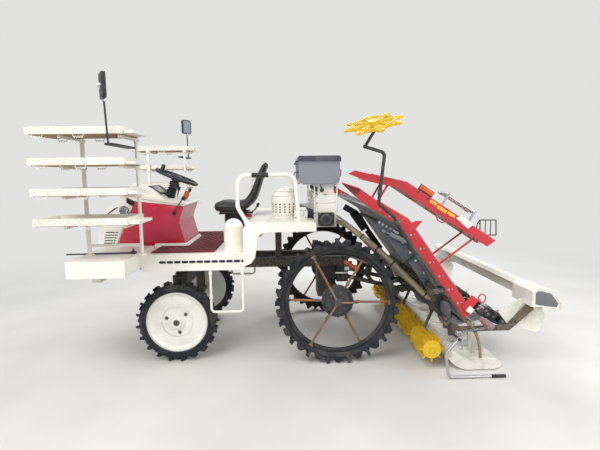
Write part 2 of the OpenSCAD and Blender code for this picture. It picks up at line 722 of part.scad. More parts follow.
// Stage geometry: points below the side rail's top edge, square to its lower run.
STAGE_DIR = unit(STAGE_LINE[2] - STAGE_LINE[1]);
STAGE_DOWN = [STAGE_DIR[1], -STAGE_DIR[0]];
panel_top = 60;
panel_t = 18;
slide_r = 15;
function under(along) = STAGE_LINE[1] + STAGE_DIR * along + STAGE_DOWN * (panel_top + panel_t + slide_r + 0.5);
SLIDES = [70, 640];

// Planting section.
bar_x = link_end_x + 110;
bar_d = 70;
arm_y = 842;
marker_y = rail_y + stage_travel + 50;
MARKER = [835, 640];
STAND = [1012, 285];
stand_y = 985;
module planting_frame() {
    z = link_end_z;
    top = under(SLIDES[0]);
    low = under(SLIDES[1]);
    color(black) {
        box(bar_x, bar_x + bar_d, -820, 820, z - 40, z + 30);
        for (s = SIDES) {
            box(link_end_x - 26, bar_x + 1, s * (link_y - 40) - 8, s * (link_y - 40) + 8, z - 30, z + 25);
            y_cyl(link_end_x, z, s * (link_y - 6) - 34, s * (link_y - 6) + 34, pin_r);
            side_plate(s * 34 - 7, s * 34 + 7, [[bar_x + 1, z - 20], [bar_x + 1, z + 20],
                [link_end_x + 90, z + top_link_dz + 24], [link_end_x + 36, z + top_link_dz + 24],
                [link_end_x + 36, z + top_link_dz - 24]]);
        }
        y_cyl(link_end_x + 60, z + top_link_dz, -40, 40, pin_r);
        for (s = SIDES) {
            side_plate(s * 812 - 8, s * 812 + 8, [[bar_x, z - 40], [bar_x + 60, z - 40], [bar_x + 40, z + 20],
                [top[0] + 14, top[1] - 14], [top[0] + 6, top[1] + 4], [top[0] - 20, top[1] - 6]]);
            side_plate(s * 300 - 6, s * 300 + 6, [[bar_x, z + 29], [bar_x + 50, z + 29],
                [low[0] + 12, low[1] - 2], [low[0] - 12, low[1] - 8]]);
        }
        y_cyl(top[0], top[1], -820, 820, slide_r);
        y_cyl(low[0], low[1], -820, 820, slide_r);
        both() {
            side_plate(-arm_y - 16, -arm_y, [[bar_x + 10, z - 40], [bar_x + 10, z - 110], [bar_x + 140, z - 140],
                [1430, z - 140], [1600, z + 10], [1600, z + 60], [1560, z + 60], [1410, z - 100], [bar_x + 140, z - 106],
                [bar_x + 60, z - 70], [bar_x + 60, z - 40]]);
            box(bar_x + 10, bar_x + 60, -arm_y - 16, -815, z - 60, z + 20);
            y_cyl(STAND[0], STAND[1], -stand_y - 14, -arm_y - 1, pin_r);
            side_plate(-arm_y - 16, -arm_y, [[STAND[0] - 22, STAND[1] - 22], [STAND[0] + 22, STAND[1] - 22],
                [STAND[0] + 30, z - 110], [STAND[0] - 30, z - 100]]);
        }
        box(MARKER[0] - 16, MARKER[0] + 16, -marker_y + 36, -805, MARKER[1] - 16, MARKER[1] + 16);
        side_plate(-marker_y + 36, -marker_y + 50, [[MARKER[0] - 50, MARKER[1] - 24], [MARKER[0] + 50, MARKER[1] - 24],
            [MARKER[0] + 50, MARKER[1] + 24], [MARKER[0] - 50, MARKER[1] + 24]]);
        for (x = [-42, 42])
            box(MARKER[0] + x - 7, MARKER[0] + x + 7, -marker_y - 20, -marker_y + 40, MARKER[1] - 22, MARKER[1] + 22);
        translate([MARKER[0] - 40, -marker_y, MARKER[1]]) rotate([0, 90, 0]) cylinder(h = 80, r = 8);
    }
}

CASE_Y = [-2 * row_pitch, 0, 2 * row_pitch];
shaft_r = 12;
module planting_cases() {
    z = link_end_z;
    x = bar_x + bar_d + GAP;
    color("silver") for (y = CASE_Y) difference() {
        union() {
            side_plate(y - 34, y + 34, concat([[x, z + 25], [x, z - 120], [x + 22, z - 160], [x + 70, z - 186]],
                arc(rotary_x, rotary_z, 52, -112, 112, 10), [[rotary_x - 90, z - 96], [x + 70, z - 96],
                [x + 34, z - 74], [x + 18, z + 25]]));
            y_cyl(rotary_x, rotary_z, y - 44, y + 44, 38);
            y_cyl(x + 62, z - 134, y - 46, y + 46, 36);
            y_cyl(x + 150, z - 134, y - 40, y + 40, 22);
        }
        y_cyl(rotary_x, rotary_z, y - 45, y + 45, shaft_r + 0.05);
    }
}

// Lower guide rail of the stage, notched where the claws pass.
module guide_rail() {
    color(black) side_plate(-arm_y + GAP, arm_y - GAP, [[1090, 352], [1160, link_end_z - 95.6], [1168, 345], [1100, 366]]);
    color(black) for (y = CASE_Y) box(1100, 1150, y - 30, y + 30, link_end_z - 96 + GAP, 345);
}

// Floats: middle y, half width, x of nose, x of tail.
FLOATS = [[-690, 180, 985, 1390], [0, 330, 985, 1390], [690, 180, 985, 1390]];
module floats() {
    color(cream) for (f = FLOATS) intersection() {
        side_plate(f[0] - f[1], f[0] + f[1], concat([[f[2], 148]], arc(f[2] + 140, 148, 140, 180, 262, 7),
            [[f[2] + 230, 8], [f[3] - 10, 8], [f[3], 22], [f[3], 44], [f[2] + 190, 58], [f[2] + 130, 84],
                [f[2] + 60, 132], [f[2] + 22, 154]]));
        linear_extrude(200)
            polygon(concat([[f[3] + 1, f[0] - f[1] + 30], [f[3] + 1, f[0] + f[1] - 30]],
                [[f[3] - 60, f[0] + f[1]], [f[2] + 130, f[0] + f[1]]],
                [[f[2] + 40, f[0] + f[1] - 40], [f[2] - 1, f[0] + f[1] - 100]],
                [[f[2] - 1, f[0] - f[1] + 100], [f[2] + 40, f[0] - f[1] + 40]],
                [[f[2] + 130, f[0] - f[1]], [f[3] - 60, f[0] - f[1]]]));
    }
    color(black) for (y = CASE_Y)
        box(1240, 1262, y - 12, y + 12, 40, rotary_z - 72 - GAP);
}

module rear_covers() {
    z = link_end_z + 61;
    color(cream) {
        both() side_plate(-960, -700, [[1600 + GAP, 465], [1732, 458], [-shelf_x, 511], [1664, 606], [1560, 628],
            [1526, 600], [1526, z], [1600 + GAP, z]]);
        side_plate(-700 + GAP, 700 - GAP, [[1590, 500], [1680, 480], [1692, 520], [1640, 606], [1556, 622],
            [1536, 596], [1590, 560]]);
        both() side_plate(-841.7, -837.7, [[1356, 423], [1522, 520], [1598, 472], [1691, 405], [1672, 290], [1640, 268],
            [1426, 331]]);
    }
}

LEVEL_X = 870;
LEVEL_Z = 165;
level_shaft_r = 14;
module leveller_arms() {
    color(black) for (y = CASE_Y) difference() {
        union() {
            bar([LEVEL_X, y, LEVEL_Z], [bar_x + 20, y, link_end_z - 40 - GAP - 10], 12);
            y_cyl(LEVEL_X, LEVEL_Z, y - 14, y + 14, 26);
            box(bar_x, bar_x + 50, y - 30, y + 30, link_end_z - 60, link_end_z - 40 - GAP);
        }
        y_cyl(LEVEL_X, LEVEL_Z, y - 15, y + 15, level_shaft_r + 0.05);
    }
}
module leveller() {
    color("gold") {
        y_cyl(LEVEL_X, LEVEL_Z, -880, 880, level_shaft_r);
        for (y = CASE_Y) for (s = SIDES) {
            for (e = [-112, 0, 112])
                y_cyl(LEVEL_X, LEVEL_Z, y + s * 150 + e - 3, y + s * 150 + e + 3, leveller_r - 26);
            for (k = [0:7])
                translate([LEVEL_X, y + s * 150, LEVEL_Z]) rotate([0, 45 * k, 0])
                    translate([leveller_r - 36, -115, -2.5]) cube([35.9, 230, 5]);
        }
    }
}

// Rotary planting unit: a turning case on each side of its drive, with two arms that end in forked claws.
rotary_tilt = 28;
case_half = 62;
module planting_arm(s) {
    y0 = s > 0 ? 128 : -164;
    side_plate(y0, y0 + 36, concat(arc(case_half, 0, 27, 150, 330), [[110, -22], [136, -6], [150, 12], [146, 24],
        [112, 20]]));
    y_cyl(case_half, 0, s > 0 ? 120 : -140, s > 0 ? 140 : -120, 19);
    for (e = [-8, 5])
        side_plate(y0 + 18 + e, y0 + 21 + e, [[134, 0], [152, 6], [claw_r - 9, 36], [claw_r - 2, 18],
            [claw_r - 1, 19], [claw_r - 7, 46], [146, 26]]);
}
module rotary(y) {
    color("silver") translate([rotary_x, y, rotary_z]) {
        y_cyl(0, 0, -130, 130, shaft_r);
        rotate([0, rotary_tilt, 0])
            for (s = SIDES) {
                side_plate(s * 86 - 40, s * 86 + 40, concat(arc(case_half, 0, 38, -80, 80), arc(0, 0, 46, 78, 102, 2),
                    arc(-case_half, 0, 38, 100, 260), arc(0, 0, 46, 258, 282, 2)));
                y_cyl(0, 0, s * 126 - 10, s * 126 + 10, 26);
                planting_arm(s);
                rotate([0, 180, 0]) planting_arm(s);
            }
    }
}

// Seedling stage, which slides from side to side. Its six lanes share the width between the rails.
lane_pitch = (rail_y - 10) / 3;
function below(line, h) = [for (p = line) p + STAGE_DOWN * h];
function rev(l) = [for (i = [len(l) - 1:-1:0]) l[i]];
module stage_panel() {
    color(black) {
        side_plate(-rail_y + 6, rail_y - 6,
            concat(below(STAGE_LINE, panel_top), rev(below(STAGE_LINE, panel_top + panel_t))));
        for (i = [0:6])
            side_plate((i - 3) * lane_pitch - 4, (i - 3) * lane_pitch + 4,
                concat(below(STAGE_LINE, 22), rev(below(STAGE_LINE, panel_top + 1))));
    }
}
module stage_rails() {
    color(red) both() {
        side_plate(-rail_y - 6, -rail_y + 6 - GAP, concat([[226, 1362], [345, 1322]], STAGE_LINE,
            rev(below(STAGE_LINE, rail_h)), [[315, 1268]]));
        side_plate(-rail_y - 22, -rail_y - 5, concat(below(STAGE_LINE, rail_h - 7), rev(below(STAGE_LINE, rail_h))));
        side_plate(-rail_y - 20, -rail_y - 5, [[226, 1362], [345, 1322], [342, 1316], [224, 1355]]);
    }
}
module side_stage() {
    y0 = -640;
    y1 = -345;
    foot = STAGE_LINE[1] + STAGE_DIR * 486 + STAGE_DOWN * (panel_top - 2 * GAP);
    color(red) side_plate(y0, y0 + 12, concat([[302, 1421], [350, 1445]], SIDE_LINE,
        rev(below(SIDE_LINE, rail_h)), [[410, 1378]]));
    color(black) side_plate(y0 + 11, y1, concat(below(SIDE_LINE, 45), rev(below(SIDE_LINE, 62))));
    color(black) for (y = [y0 + 26, y1 - 12]) {
        bar([489.95, y, 1157.4], [600, y, 1340], 8);
        bar([foot[0], y, foot[1]], [1290, y, 950], 8);
    }
}

// Bright press rods over the stowed side stage.
SIDE_DIR = unit(SIDE_LINE[2] - SIDE_LINE[1]);
function over(along, up) = SIDE_LINE[1] + SIDE_DIR * along + [-SIDE_DIR[1], SIDE_DIR[0]] * up;
module press_rods() {
    color("silver") {
        for (y = [-590, -535, -480]) bar([over(295, 97)[0], y, over(295, 97)[1]], [over(575, 97)[0], y, over(575, 97)[1]], 7);
        for (a = [317, 557]) {
            y_cyl(over(a, 97)[0], over(a, 97)[1], -640, -470, 9);
            side_plate(-640, -628, [over(a - 8, GAP), over(a + 8, GAP), over(a + 8, 97), over(a - 8, 97)]);
        }
    }
}

// Line marker, folded up beside the stage at rest.
module marker_arm() {
    color(black) difference() {
        union() {
            tube_path(-marker_y, [MARKER, [540, 1140], [440, 1227], [477, 1550], [350, 1590]], 11, 30);
            translate([350, -marker_y, 1590]) sphere(r = 13);
            bar([350, -marker_y, 1590], STAR - STAR_AXIS * 45, 10);
            bar(STAR - STAR_AXIS * 52, STAR + STAR_AXIS * 16, 12);
            translate([MARKER[0] - 34, -marker_y, MARKER[1]]) rotate([0, 90, 0]) cylinder(h = 68, r = 20);
        }
        translate([MARKER[0] - 35, -marker_y, MARKER[1]]) rotate([0, 90, 0]) cylinder(h = 70, r = 8.05);
    }
}
STAR = [417, -970, 1739];
STAR_TILT = [20, -14];
STAR_AXIS = [cos(STAR_TILT[0]) * sin(STAR_TILT[1]), -sin(STAR_TILT[0]), cos(STAR_TILT[0]) * cos(STAR_TILT[1])];
module marker_wheel() {
    color("gold") translate(STAR) rotate([STAR_TILT[0], STAR_TILT[1], 0]) difference() {
        union() {
            translate([0, 0, -7]) linear_extrude(14)
                polygon([for (k = [0:7]) for (p = [[-12, 0.76], [-5, 1], [5, 1], [12, 0.76]])
                    star_r * p[1] * [cos(45 * k + p[0]), sin(45 * k + p[0])]]);
            translate([0, 0, -10]) rotate_extrude() translate([star_r * 0.66, 0]) square([12, 20]);
            translate([0, 0, -18]) cylinder(h = 40, r = 38);
        }
        for (k = [0:7])
            rotate([0, 0, 45 * k])
                translate([0, 0, -20]) linear_extrude(40)
                    polygon(concat(arc(0, 0, star_r * 0.62, 12, 33, 3), arc(0, 0, 52, 28, 17, 1)));
        translate([0, 0, -19]) cylinder(h = 36, r = 12.05);
    }
}

// Step irons under the floor's edge.
module side_steps() {
    top = floor_z - floor_t - GAP;
    color(cream) both() tube_path(-floor_half_w + 10, [[-725, top], [-725, 405], [-488, 405], [-488, top]], 9, 30);
}

// Parking stands.
module stand() {
    color("gray") difference() {
        union() {
            tube_path(-stand_y, [STAND, [922, 185], [945, 12], [1345, 12]], 10, 40);
            y_cyl(STAND[0], STAND[1], -stand_y - 12, -stand_y + 12, 20);
        }
        y_cyl(STAND[0], STAND[1], -stand_y - 13, -stand_y + 13, pin_r + 0.05);
    }
}

// Six ribbed hoses from the spreader to the planting rows: stations as x, share of the row's y, z.
HOSE_LINE = [[192, 0.5, 1046], [240, 0.5, 1046], [330, 0.52, 1010], [430, 0.6, 935], [560, 0.7, 830],
    [690, 0.84, 700], [800, 0.92, 590], [880, 0.98, 510], [930, 1, 490]];
module hoses() {
    color("#8d8052") for (i = [-2.5:2.5])
        sweep([for (p = HOSE_LINE) [p[0], i * row_pitch * p[1] * 0.92, p[2]]], 24, 8);
}

frame();
top_link_bracket();
front_axle();
rear_axle();
engine();
platform();
floor_mat();
rear_deck();
side_cowls();
console();
console_top();
steering_column();
steering_wheel();
bonnet();
headlamps();
front_steps();
rack_posts();
rack_shelves();
mirrors();
seat();
seat_base();
handrails();
blower_cover();
hopper();
hopper_lid();
metering_case();
air_duct();
knuckle();  // knuckle_left
mirror([0, 1, 0]) knuckle();  // knuckle_right
translate([front_axle_x, -front_track_y, front_r]) front_wheel();  // front_wheel_left
mirror([0, 1, 0]) translate([front_axle_x, -front_track_y, front_r]) front_wheel();  // front_wheel_right
translate([rear_axle_x, -rear_track_y, rear_r]) rear_wheel();  // rear_wheel_left
mirror([0, 1, 0]) translate([rear_axle_x, -rear_track_y, rear_r]) rear_wheel();  // rear_wheel_right
lower_links();
top_link();
planting_frame();
planting_cases();
guide_rail();
floats();
rear_covers();
leveller_arms();
leveller();
rotary(CASE_Y[0]);  // rotary_left
rotary(CASE_Y[1]);  // rotary_middle
rotary(CASE_Y[2]);  // rotary_right
stage_panel();
stage_rails();
side_stage();
press_rods();
marker_arm();  // marker_arm_left
marker_wheel();  // marker_wheel_left
stand();  // stand_left
mirror([0, 1, 0]) stand();  // stand_right
side_steps();
lift_cylinder();
lift_rod();
hoses();
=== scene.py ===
from math import copysign, cos, exp, pi, radians, sin, sqrt

import bmesh
import bpy
from mathutils import Matrix, Vector


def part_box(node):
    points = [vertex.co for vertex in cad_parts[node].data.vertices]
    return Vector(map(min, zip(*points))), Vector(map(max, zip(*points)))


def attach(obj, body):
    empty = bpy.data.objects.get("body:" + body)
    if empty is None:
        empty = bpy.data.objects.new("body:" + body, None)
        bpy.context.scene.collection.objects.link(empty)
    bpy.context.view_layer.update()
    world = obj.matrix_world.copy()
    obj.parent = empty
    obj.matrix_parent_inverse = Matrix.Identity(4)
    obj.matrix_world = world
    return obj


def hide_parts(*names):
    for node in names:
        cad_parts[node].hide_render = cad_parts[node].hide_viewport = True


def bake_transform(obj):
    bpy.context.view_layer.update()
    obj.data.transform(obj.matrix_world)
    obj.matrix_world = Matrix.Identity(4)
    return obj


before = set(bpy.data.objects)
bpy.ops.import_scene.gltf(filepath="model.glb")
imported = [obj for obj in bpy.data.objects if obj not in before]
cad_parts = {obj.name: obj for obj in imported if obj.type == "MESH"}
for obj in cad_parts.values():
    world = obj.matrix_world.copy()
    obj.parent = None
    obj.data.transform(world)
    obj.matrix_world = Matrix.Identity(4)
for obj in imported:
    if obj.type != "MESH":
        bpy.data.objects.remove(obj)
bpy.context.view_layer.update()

bl_info = {
    "name": "Rice Transplanter Dressing",
    "version": (1, 0, 0),
    "blender": (4, 5, 0),
    "location": "View3D > Sidebar > Transplanter",
    "description": "Paint, rubber, hoses, belts and field dirt for a riding rice transplanter",
    "category": "Object",
}

LEFT, RIGHT = -1, 1
SIDES = ((LEFT, "left"), (RIGHT, "right"))
BACKDROP = (0.76, 0.76, 0.75, 1)


# Colours and finishes

def linear(hex_colour):
    """Scene-linear RGB of a colour written as on a paint card."""
    out = []
    for i in (1, 3, 5):
        c = int(hex_colour[i:i + 2], 16) / 255
        out.append(c / 12.92 if c <= 0.04045 else ((c + 0.055) / 1.055) ** 2.4)
    return tuple(out)


class Finish:
    """A procedural finish: base colour with slow variation, field dirt, edge wear and a fine bump."""

    def __init__(self, name):
        self.mat = bpy.data.materials.new(name)
        self.mat.use_nodes = True
        self.tree = self.mat.node_tree
        self.bsdf = self.tree.nodes["Principled BSDF"]
        self.coord = self.add("ShaderNodeTexCoord").outputs["Object"]

    def add(self, kind, **values):
        node = self.tree.nodes.new(kind)
        for key, value in values.items():
            if key in node.inputs:
                node.inputs[key].default_value = value
            else:
                setattr(node, key, value)
        return node

    def link(self, out, into):
        self.tree.links.new(out, into)

    def noise(self, scale, detail=4.0, stretch=None):
        node = self.add("ShaderNodeTexNoise")
        node.inputs["Scale"].default_value = scale
        node.inputs["Detail"].default_value = detail
        self.link(self.stretched(stretch), node.inputs["Vector"])
        return node.outputs["Fac"]

    def stretched(self, stretch):
        if not stretch:
            return self.coord
        node = self.add("ShaderNodeMapping")
        node.inputs["Scale"].default_value = stretch
        self.link(self.coord, node.inputs["Vector"])
        return node.outputs["Vector"]

    def ramp(self, value, low, high, a=0.0, b=1.0):
        node = self.add("ShaderNodeMapRange")
        node.interpolation_type = "SMOOTHSTEP"
        self.link(value, node.inputs["Value"])
        for key, v in (("From Min", low), ("From Max", high), ("To Min", a), ("To Max", b)):
            node.inputs[key].default_value = v
        return node.outputs["Result"]

    def math(self, operation, a, b):
        node = self.add("ShaderNodeMath")
        node.operation = operation
        for i, v in enumerate((a, b)):
            if isinstance(v, (int, float)):
                node.inputs[i].default_value = v
            else:
                self.link(v, node.inputs[i])
        return node.outputs[0]

    def mix(self, factor, a, b):
        node = self.add("ShaderNodeMix")
        node.data_type = "RGBA"
        sockets = [node.inputs[0], node.inputs[6], node.inputs[7]]
        for socket, v in zip(sockets, (factor, a, b)):
            if isinstance(v, (int, float)):
                socket.default_value = v
            elif isinstance(v, tuple):
                socket.default_value = (*v, 1.0)
            else:
                self.link(v, socket)
        return node.outputs[2]

    def height(self):
        node = self.add("ShaderNodeSeparateXYZ")
        self.link(self.coord, node.inputs[0])
        return node.outputs["Z"]

    def edges(self, low=0.52, high=0.62):
        node = self.add("ShaderNodeNewGeometry")
        return self.ramp(node.outputs["Pointiness"], low, high)

    def bump(self, value, strength, distance):
        node = self.add("ShaderNodeBump")
        node.inputs["Strength"].default_value = strength
        node.inputs["Distance"].default_value = distance
        self.link(value, node.inputs["Height"])
        self.link(node.outputs["Normal"], self.bsdf.inputs["Normal"])


def coat(name, hex_colour, rough=0.45, metal=0.0, vary=0.10, dirt=0.25, dirt_hex="#8a7a62", dirt_top=0.9,
         wear=0.0, wear_hex="#6d675f", grain=260.0, bump=0.12, depth=0.0006, gloss=0.0, stretch=None):
    """Paint, plastic or metal with dirt that thins out towards dirt_top metres and worn edges."""
    f = Finish(name)
    base = linear(hex_colour)
    dark = tuple(c * (1 - vary) for c in base)
    light = tuple(min(1.0, c * (1 + vary * 0.6)) for c in base)
    colour = f.mix(f.ramp(f.noise(2.6, 6.0), 0.3, 0.7), dark, light)
    speckle = f.ramp(f.noise(34.0, 8.0, stretch), 0.44, 0.70)
    low = f.ramp(f.height(), dirt_top, 0.05)
    patches = f.math("MULTIPLY", f.ramp(f.noise(6.5, 9.0), 0.42, 0.66), low)
    mask = f.math("MULTIPLY", f.math("ADD", patches, f.math("MULTIPLY", speckle, 0.22)), dirt)
    mask = f.math("MINIMUM", mask, 0.92)
    colour = f.mix(mask, colour, linear(dirt_hex))
    if wear:
        chips = f.math("MULTIPLY", f.edges(), f.ramp(f.noise(60.0, 6.0), 0.42, 0.60))
        colour = f.mix(f.math("MULTIPLY", chips, wear), colour, linear(wear_hex))
    f.link(colour, f.bsdf.inputs["Base Color"])
    uneven = f.ramp(f.noise(9.0, 5.0), 0.2, 0.8, rough - 0.06, rough + 0.08)
    f.link(f.math("ADD", f.math("MULTIPLY", mask, 0.45), uneven), f.bsdf.inputs["Roughness"])
    f.bsdf.inputs["Metallic"].default_value = metal
    if gloss:
        f.bsdf.inputs["Coat Weight"].default_value = gloss
        f.bsdf.inputs["Coat Roughness"].default_value = 0.12
    f.bump(f.noise(grain, 3.0, stretch), bump, depth)
    return f


def rusty(name, hex_colour, rust=0.5, rough=0.55, metal=0.6):
    """Steel or worn paint with rust that comes through in patches."""
    f = Finish(name)
    patches = f.ramp(f.noise(11.0, 9.0), 0.62 - 0.3 * rust, 0.74 - 0.2 * rust)
    tint = f.mix(f.ramp(f.noise(46.0, 6.0), 0.35, 0.65), linear("#4f2a16"), linear("#8e5430"))
    f.link(f.mix(patches, linear(hex_colour), tint), f.bsdf.inputs["Base Color"])
    f.link(f.math("MAXIMUM", f.math("MULTIPLY", patches, 0.85), rough), f.bsdf.inputs["Roughness"])
    f.link(f.math("MULTIPLY", f.math("SUBTRACT", 1.0, patches), metal), f.bsdf.inputs["Metallic"])
    f.bump(f.noise(120.0, 6.0), 0.35, 0.0008)
    return f


def clear(name, hex_colour, rough=0.25, transmission=0.6):
    """Tinted see-through plastic or glass with faint dust."""
    f = Finish(name)
    dust = f.ramp(f.noise(7.0, 8.0), 0.45, 0.75, 0.0, 0.35)
    f.link(f.mix(dust, linear(hex_colour), linear("#9b9482")), f.bsdf.inputs["Base Color"])
    f.link(f.math("ADD", f.math("MULTIPLY", dust, 0.5), rough), f.bsdf.inputs["Roughness"])
    f.bsdf.inputs["Transmission Weight"].default_value = transmission
    f.bsdf.inputs["IOR"].default_value = 1.45
    f.bump(f.noise(150.0, 3.0), 0.06, 0.0004)
    return f


def wheel_coat(name, axle, bands):
    """Muddy rubber with other coats inside given radii about the axle.

    A band is radius, colour, dirt and share of dirt. The bands lie inside the first, which is smoother than rubber.
    """
    f = Finish(name)
    parts = f.add("ShaderNodeSeparateXYZ")
    f.link(f.coord, parts.inputs[0])
    dx = f.math("SUBTRACT", parts.outputs["X"], axle[0])
    dz = f.math("SUBTRACT", parts.outputs["Z"], axle[1])
    radius = f.math("SQRT", f.math("ADD", f.math("MULTIPLY", dx, dx), f.math("MULTIPLY", dz, dz)), 0.0)
    rubber = f.mix(f.ramp(f.noise(3.0, 6.0), 0.3, 0.7), linear("#191c21"), linear("#2a2e35"))
    colour = f.mix(f.math("MULTIPLY", f.ramp(f.noise(8.0, 9.0), 0.46, 0.70), 0.34), rubber, linear("#6b6457"))
    rough = None
    for reach, hex_colour, dirt_hex, share in bands:
        inside = f.ramp(radius, reach + 0.0012, reach - 0.0012)
        spots = f.math("MULTIPLY", f.ramp(f.noise(10.0, 9.0), 0.42, 0.66), share)
        colour = f.mix(inside, colour, f.mix(spots, linear(hex_colour), linear(dirt_hex)))
        if rough is None:
            rough = f.math("SUBTRACT", 0.78, f.math("MULTIPLY", inside, 0.30))
    f.link(colour, f.bsdf.inputs["Base Color"])
    f.link(rough, f.bsdf.inputs["Roughness"])
    f.bump(f.noise(140.0, 3.0), 0.3, 0.0008)
    return f


FINISHES = {}


def make_finishes(colours):
    """All finishes, by the name that the pieces use."""
    made = {
        "cream": coat("cream_plastic", colours.cream, rough=0.38, dirt=0.17, dirt_hex="#9c907a", gloss=0.15, bump=0.05),
        "cream_metal": coat("cream_paint", colours.cream, rough=0.40, dirt=0.17, dirt_hex="#9c907a", wear=0.2,
                            wear_hex="#8a6a4a", bump=0.06),
        "cream_low": coat("muddy_cream", colours.cream, rough=0.5, dirt=0.45, dirt_top=0.8, dirt_hex="#857862",
                          bump=0.15),
        "red": coat("red_plastic", colours.red, rough=0.30, dirt=0.16, dirt_hex="#8c6a55", gloss=0.25, bump=0.05),
        "rail_red": coat("sun_faded_red", colours.rail_red, rough=0.40, dirt=0.22, dirt_hex="#8c5a4c", vary=0.14,
                         gloss=0.1, bump=0.10),
        "black": coat("black_paint", "#26282b", rough=0.45, dirt=0.55, dirt_top=1.1, wear=0.7, wear_hex="#7a6a58"),
        "cast": coat("grey_casting", "#4a4b4c", rough=0.6, metal=0.5, dirt=0.6, bump=0.4, grain=180.0, depth=0.0012),
        "silver": coat("cast_alloy", "#8f9092", rough=0.42, metal=0.75, dirt=0.6, dirt_hex="#6b5d49", bump=0.3),
        "bright": coat("bright_steel", "#c4c5c6", rough=0.24, metal=0.95, dirt=0.18, bump=0.06),
        "rust": rusty("rusty_steel", "#77726a", rust=0.7),
        "spoke": rusty("rusty_spoke", "#8a7466", rust=0.5, metal=0.3),
        "bronze": rusty("rusty_red_paint", "#7d3b35", rust=0.35, metal=0.2),
        "claw": rusty("worn_claw_steel", "#4b4a4d", rust=0.25, rough=0.4, metal=0.85),
        "rubber": coat("tyre_rubber", "#1c1e22", rough=0.72, dirt=0.38, dirt_hex="#6b6457", dirt_top=1.0, bump=0.35,
                       grain=140.0, depth=0.001),
        "front_wheel": wheel_coat("front_wheel_coats", (-1.005, 0.310), ((0.2325, "#eae8e2", "#97866a", 0.14),)),
        "rear_wheel": wheel_coat("rear_wheel_coats", (0.220, 0.470), (
            (0.3955, "#7a5a45", "#96633f", 0.8), (0.1185, "#2b2f35", "#5d5648", 0.30))),
        "plastic": coat("black_plastic", "#1f2023", rough=0.5, dirt=0.30, bump=0.25, grain=420.0),
        "mat": coat("dark_red_mat", "#6d2a2e", rough=0.8, dirt=0.35, dirt_hex="#7a6455", dirt_top=1.2, bump=0.4),
        "grey": coat("grey_plastic", "#6e7073", rough=0.55, dirt=0.35, bump=0.2),
        "dark_grey": coat("dark_grey_plastic", "#3f4144", rough=0.5, dirt=0.35, bump=0.2),
        "vinyl": coat("seat_vinyl", "#1d1e20", rough=0.48, dirt=0.20, dirt_top=1.6, grain=330.0, bump=0.5,
                      depth=0.0009),
        "yellow": coat("yellow_plastic", colours.yellow, rough=0.45, dirt=0.24, dirt_top=1.2, dirt_hex="#7d6840",
                       vary=0.10),
        "belt": coat("brown_belt", "#6f4f38", rough=0.75, dirt=0.45, dirt_top=1.6, vary=0.2, bump=0.4),
        "seedbed": coat("stage_grey", "#8d8f8e", rough=0.6, dirt=0.5, dirt_top=1.5, bump=0.25),
        "orange": coat("orange_plastic", "#c7541c", rough=0.25, dirt=0.12, gloss=0.4),
        "white": coat("white_plastic", "#e6e4dd", rough=0.4, dirt=0.35, dirt_top=0.7, dirt_hex="#8a7b64", bump=0.08),
        "smoke": clear("smoked_hopper", "#8f919d", rough=0.32, transmission=0.18),
        "glass": clear("lamp_lens", "#dfe6ea", rough=0.06, transmission=0.9),
        "hose": clear("tan_hose", "#a3977a", rough=0.34, transmission=0.15),
        # Tan for the shelves' undersides, with a long streaky grain.
        "tan_underside": coat("tan_underside_sheet", "#a9805a", rough=0.75, dirt=0.25, dirt_top=2.4, vary=0.22, grain=90.0, bump=0.3,
                      stretch=(2.0, 26.0, 2.0)),
        # Dark red plastic of the bonnet line; on the rail tip the same dark red is painted shade of its underside.
        "dark_red": coat("dark_red_plastic_and_shade", "#6a1c22", rough=0.35, dirt=0.15, gloss=0.2),
        "screen": coat("display_window", "#2d3338", rough=0.12, dirt=0.12, gloss=0.6, bump=0.02),
        "lid": clear("dark_hopper_lid", "#4b4a5c", rough=0.25, transmission=0.12),
        "reflector": coat("orange_reflector", "#d2531f", rough=0.18, dirt=0.16, gloss=0.5, grain=520.0, bump=0.3),
        "label_yellow": coat("blank_yellow_film", "#d9b53a", rough=0.4, dirt=0.25, dirt_top=2.0),
        "mauve": coat("dull_pink_plastic", "#9a7480", rough=0.5, dirt=0.4),
        "tan": coat("tan_bar", "#94795a", rough=0.55, dirt=0.45, metal=0.2),
        "cover_blue": coat("slate_cover", "#3a434e", rough=0.5, dirt=0.45, dirt_top=1.4, vary=0.16),
        "mirror_glass": coat("mirror_glass", "#b9c2c8", rough=0.04, metal=1.0, dirt=0.06, bump=0.0, vary=0.02),
    }
    FINISHES.clear()
    FINISHES.update({key: f.mat for key, f in made.items()})


# The solids of each finish
SOLIDS = {
    "black": "frame seat_base lower_links top_link planting_frame guide_rail leveller_arms marker_arm_left "
             "lift_cylinder top_link_bracket",
    "cast": "front_axle rear_axle engine knuckle_left knuckle_right",
    "cream": "platform rear_deck side_cowls console_top bonnet front_steps blower_cover metering_case",
    "mat": "floor_mat",
    "red": "console",
    "plastic": "steering_column steering_wheel mirrors air_duct",
    "glass": "headlamps",
    "cream_metal": "rack_posts rack_shelves handrails side_steps",
    "vinyl": "seat",
    "smoke": "hopper",
    "lid": "hopper_lid",
    "front_wheel": "front_wheel_left front_wheel_right",
    "rear_wheel": "rear_wheel_left rear_wheel_right",
    "silver": "planting_cases",
    "cream_low": "floats rear_covers",
    "yellow": "leveller marker_wheel_left",
    "claw": "rotary_left rotary_middle rotary_right",
    "seedbed": "stage_panel",
    "rail_red": "stage_rails side_stage",
    "bright": "press_rods stand_left stand_right lift_rod",
    "hose": "hoses",
}
NODE_FINISH = {node: finish for finish, nodes in SOLIDS.items() for node in nodes.split()}


# Mesh helpers

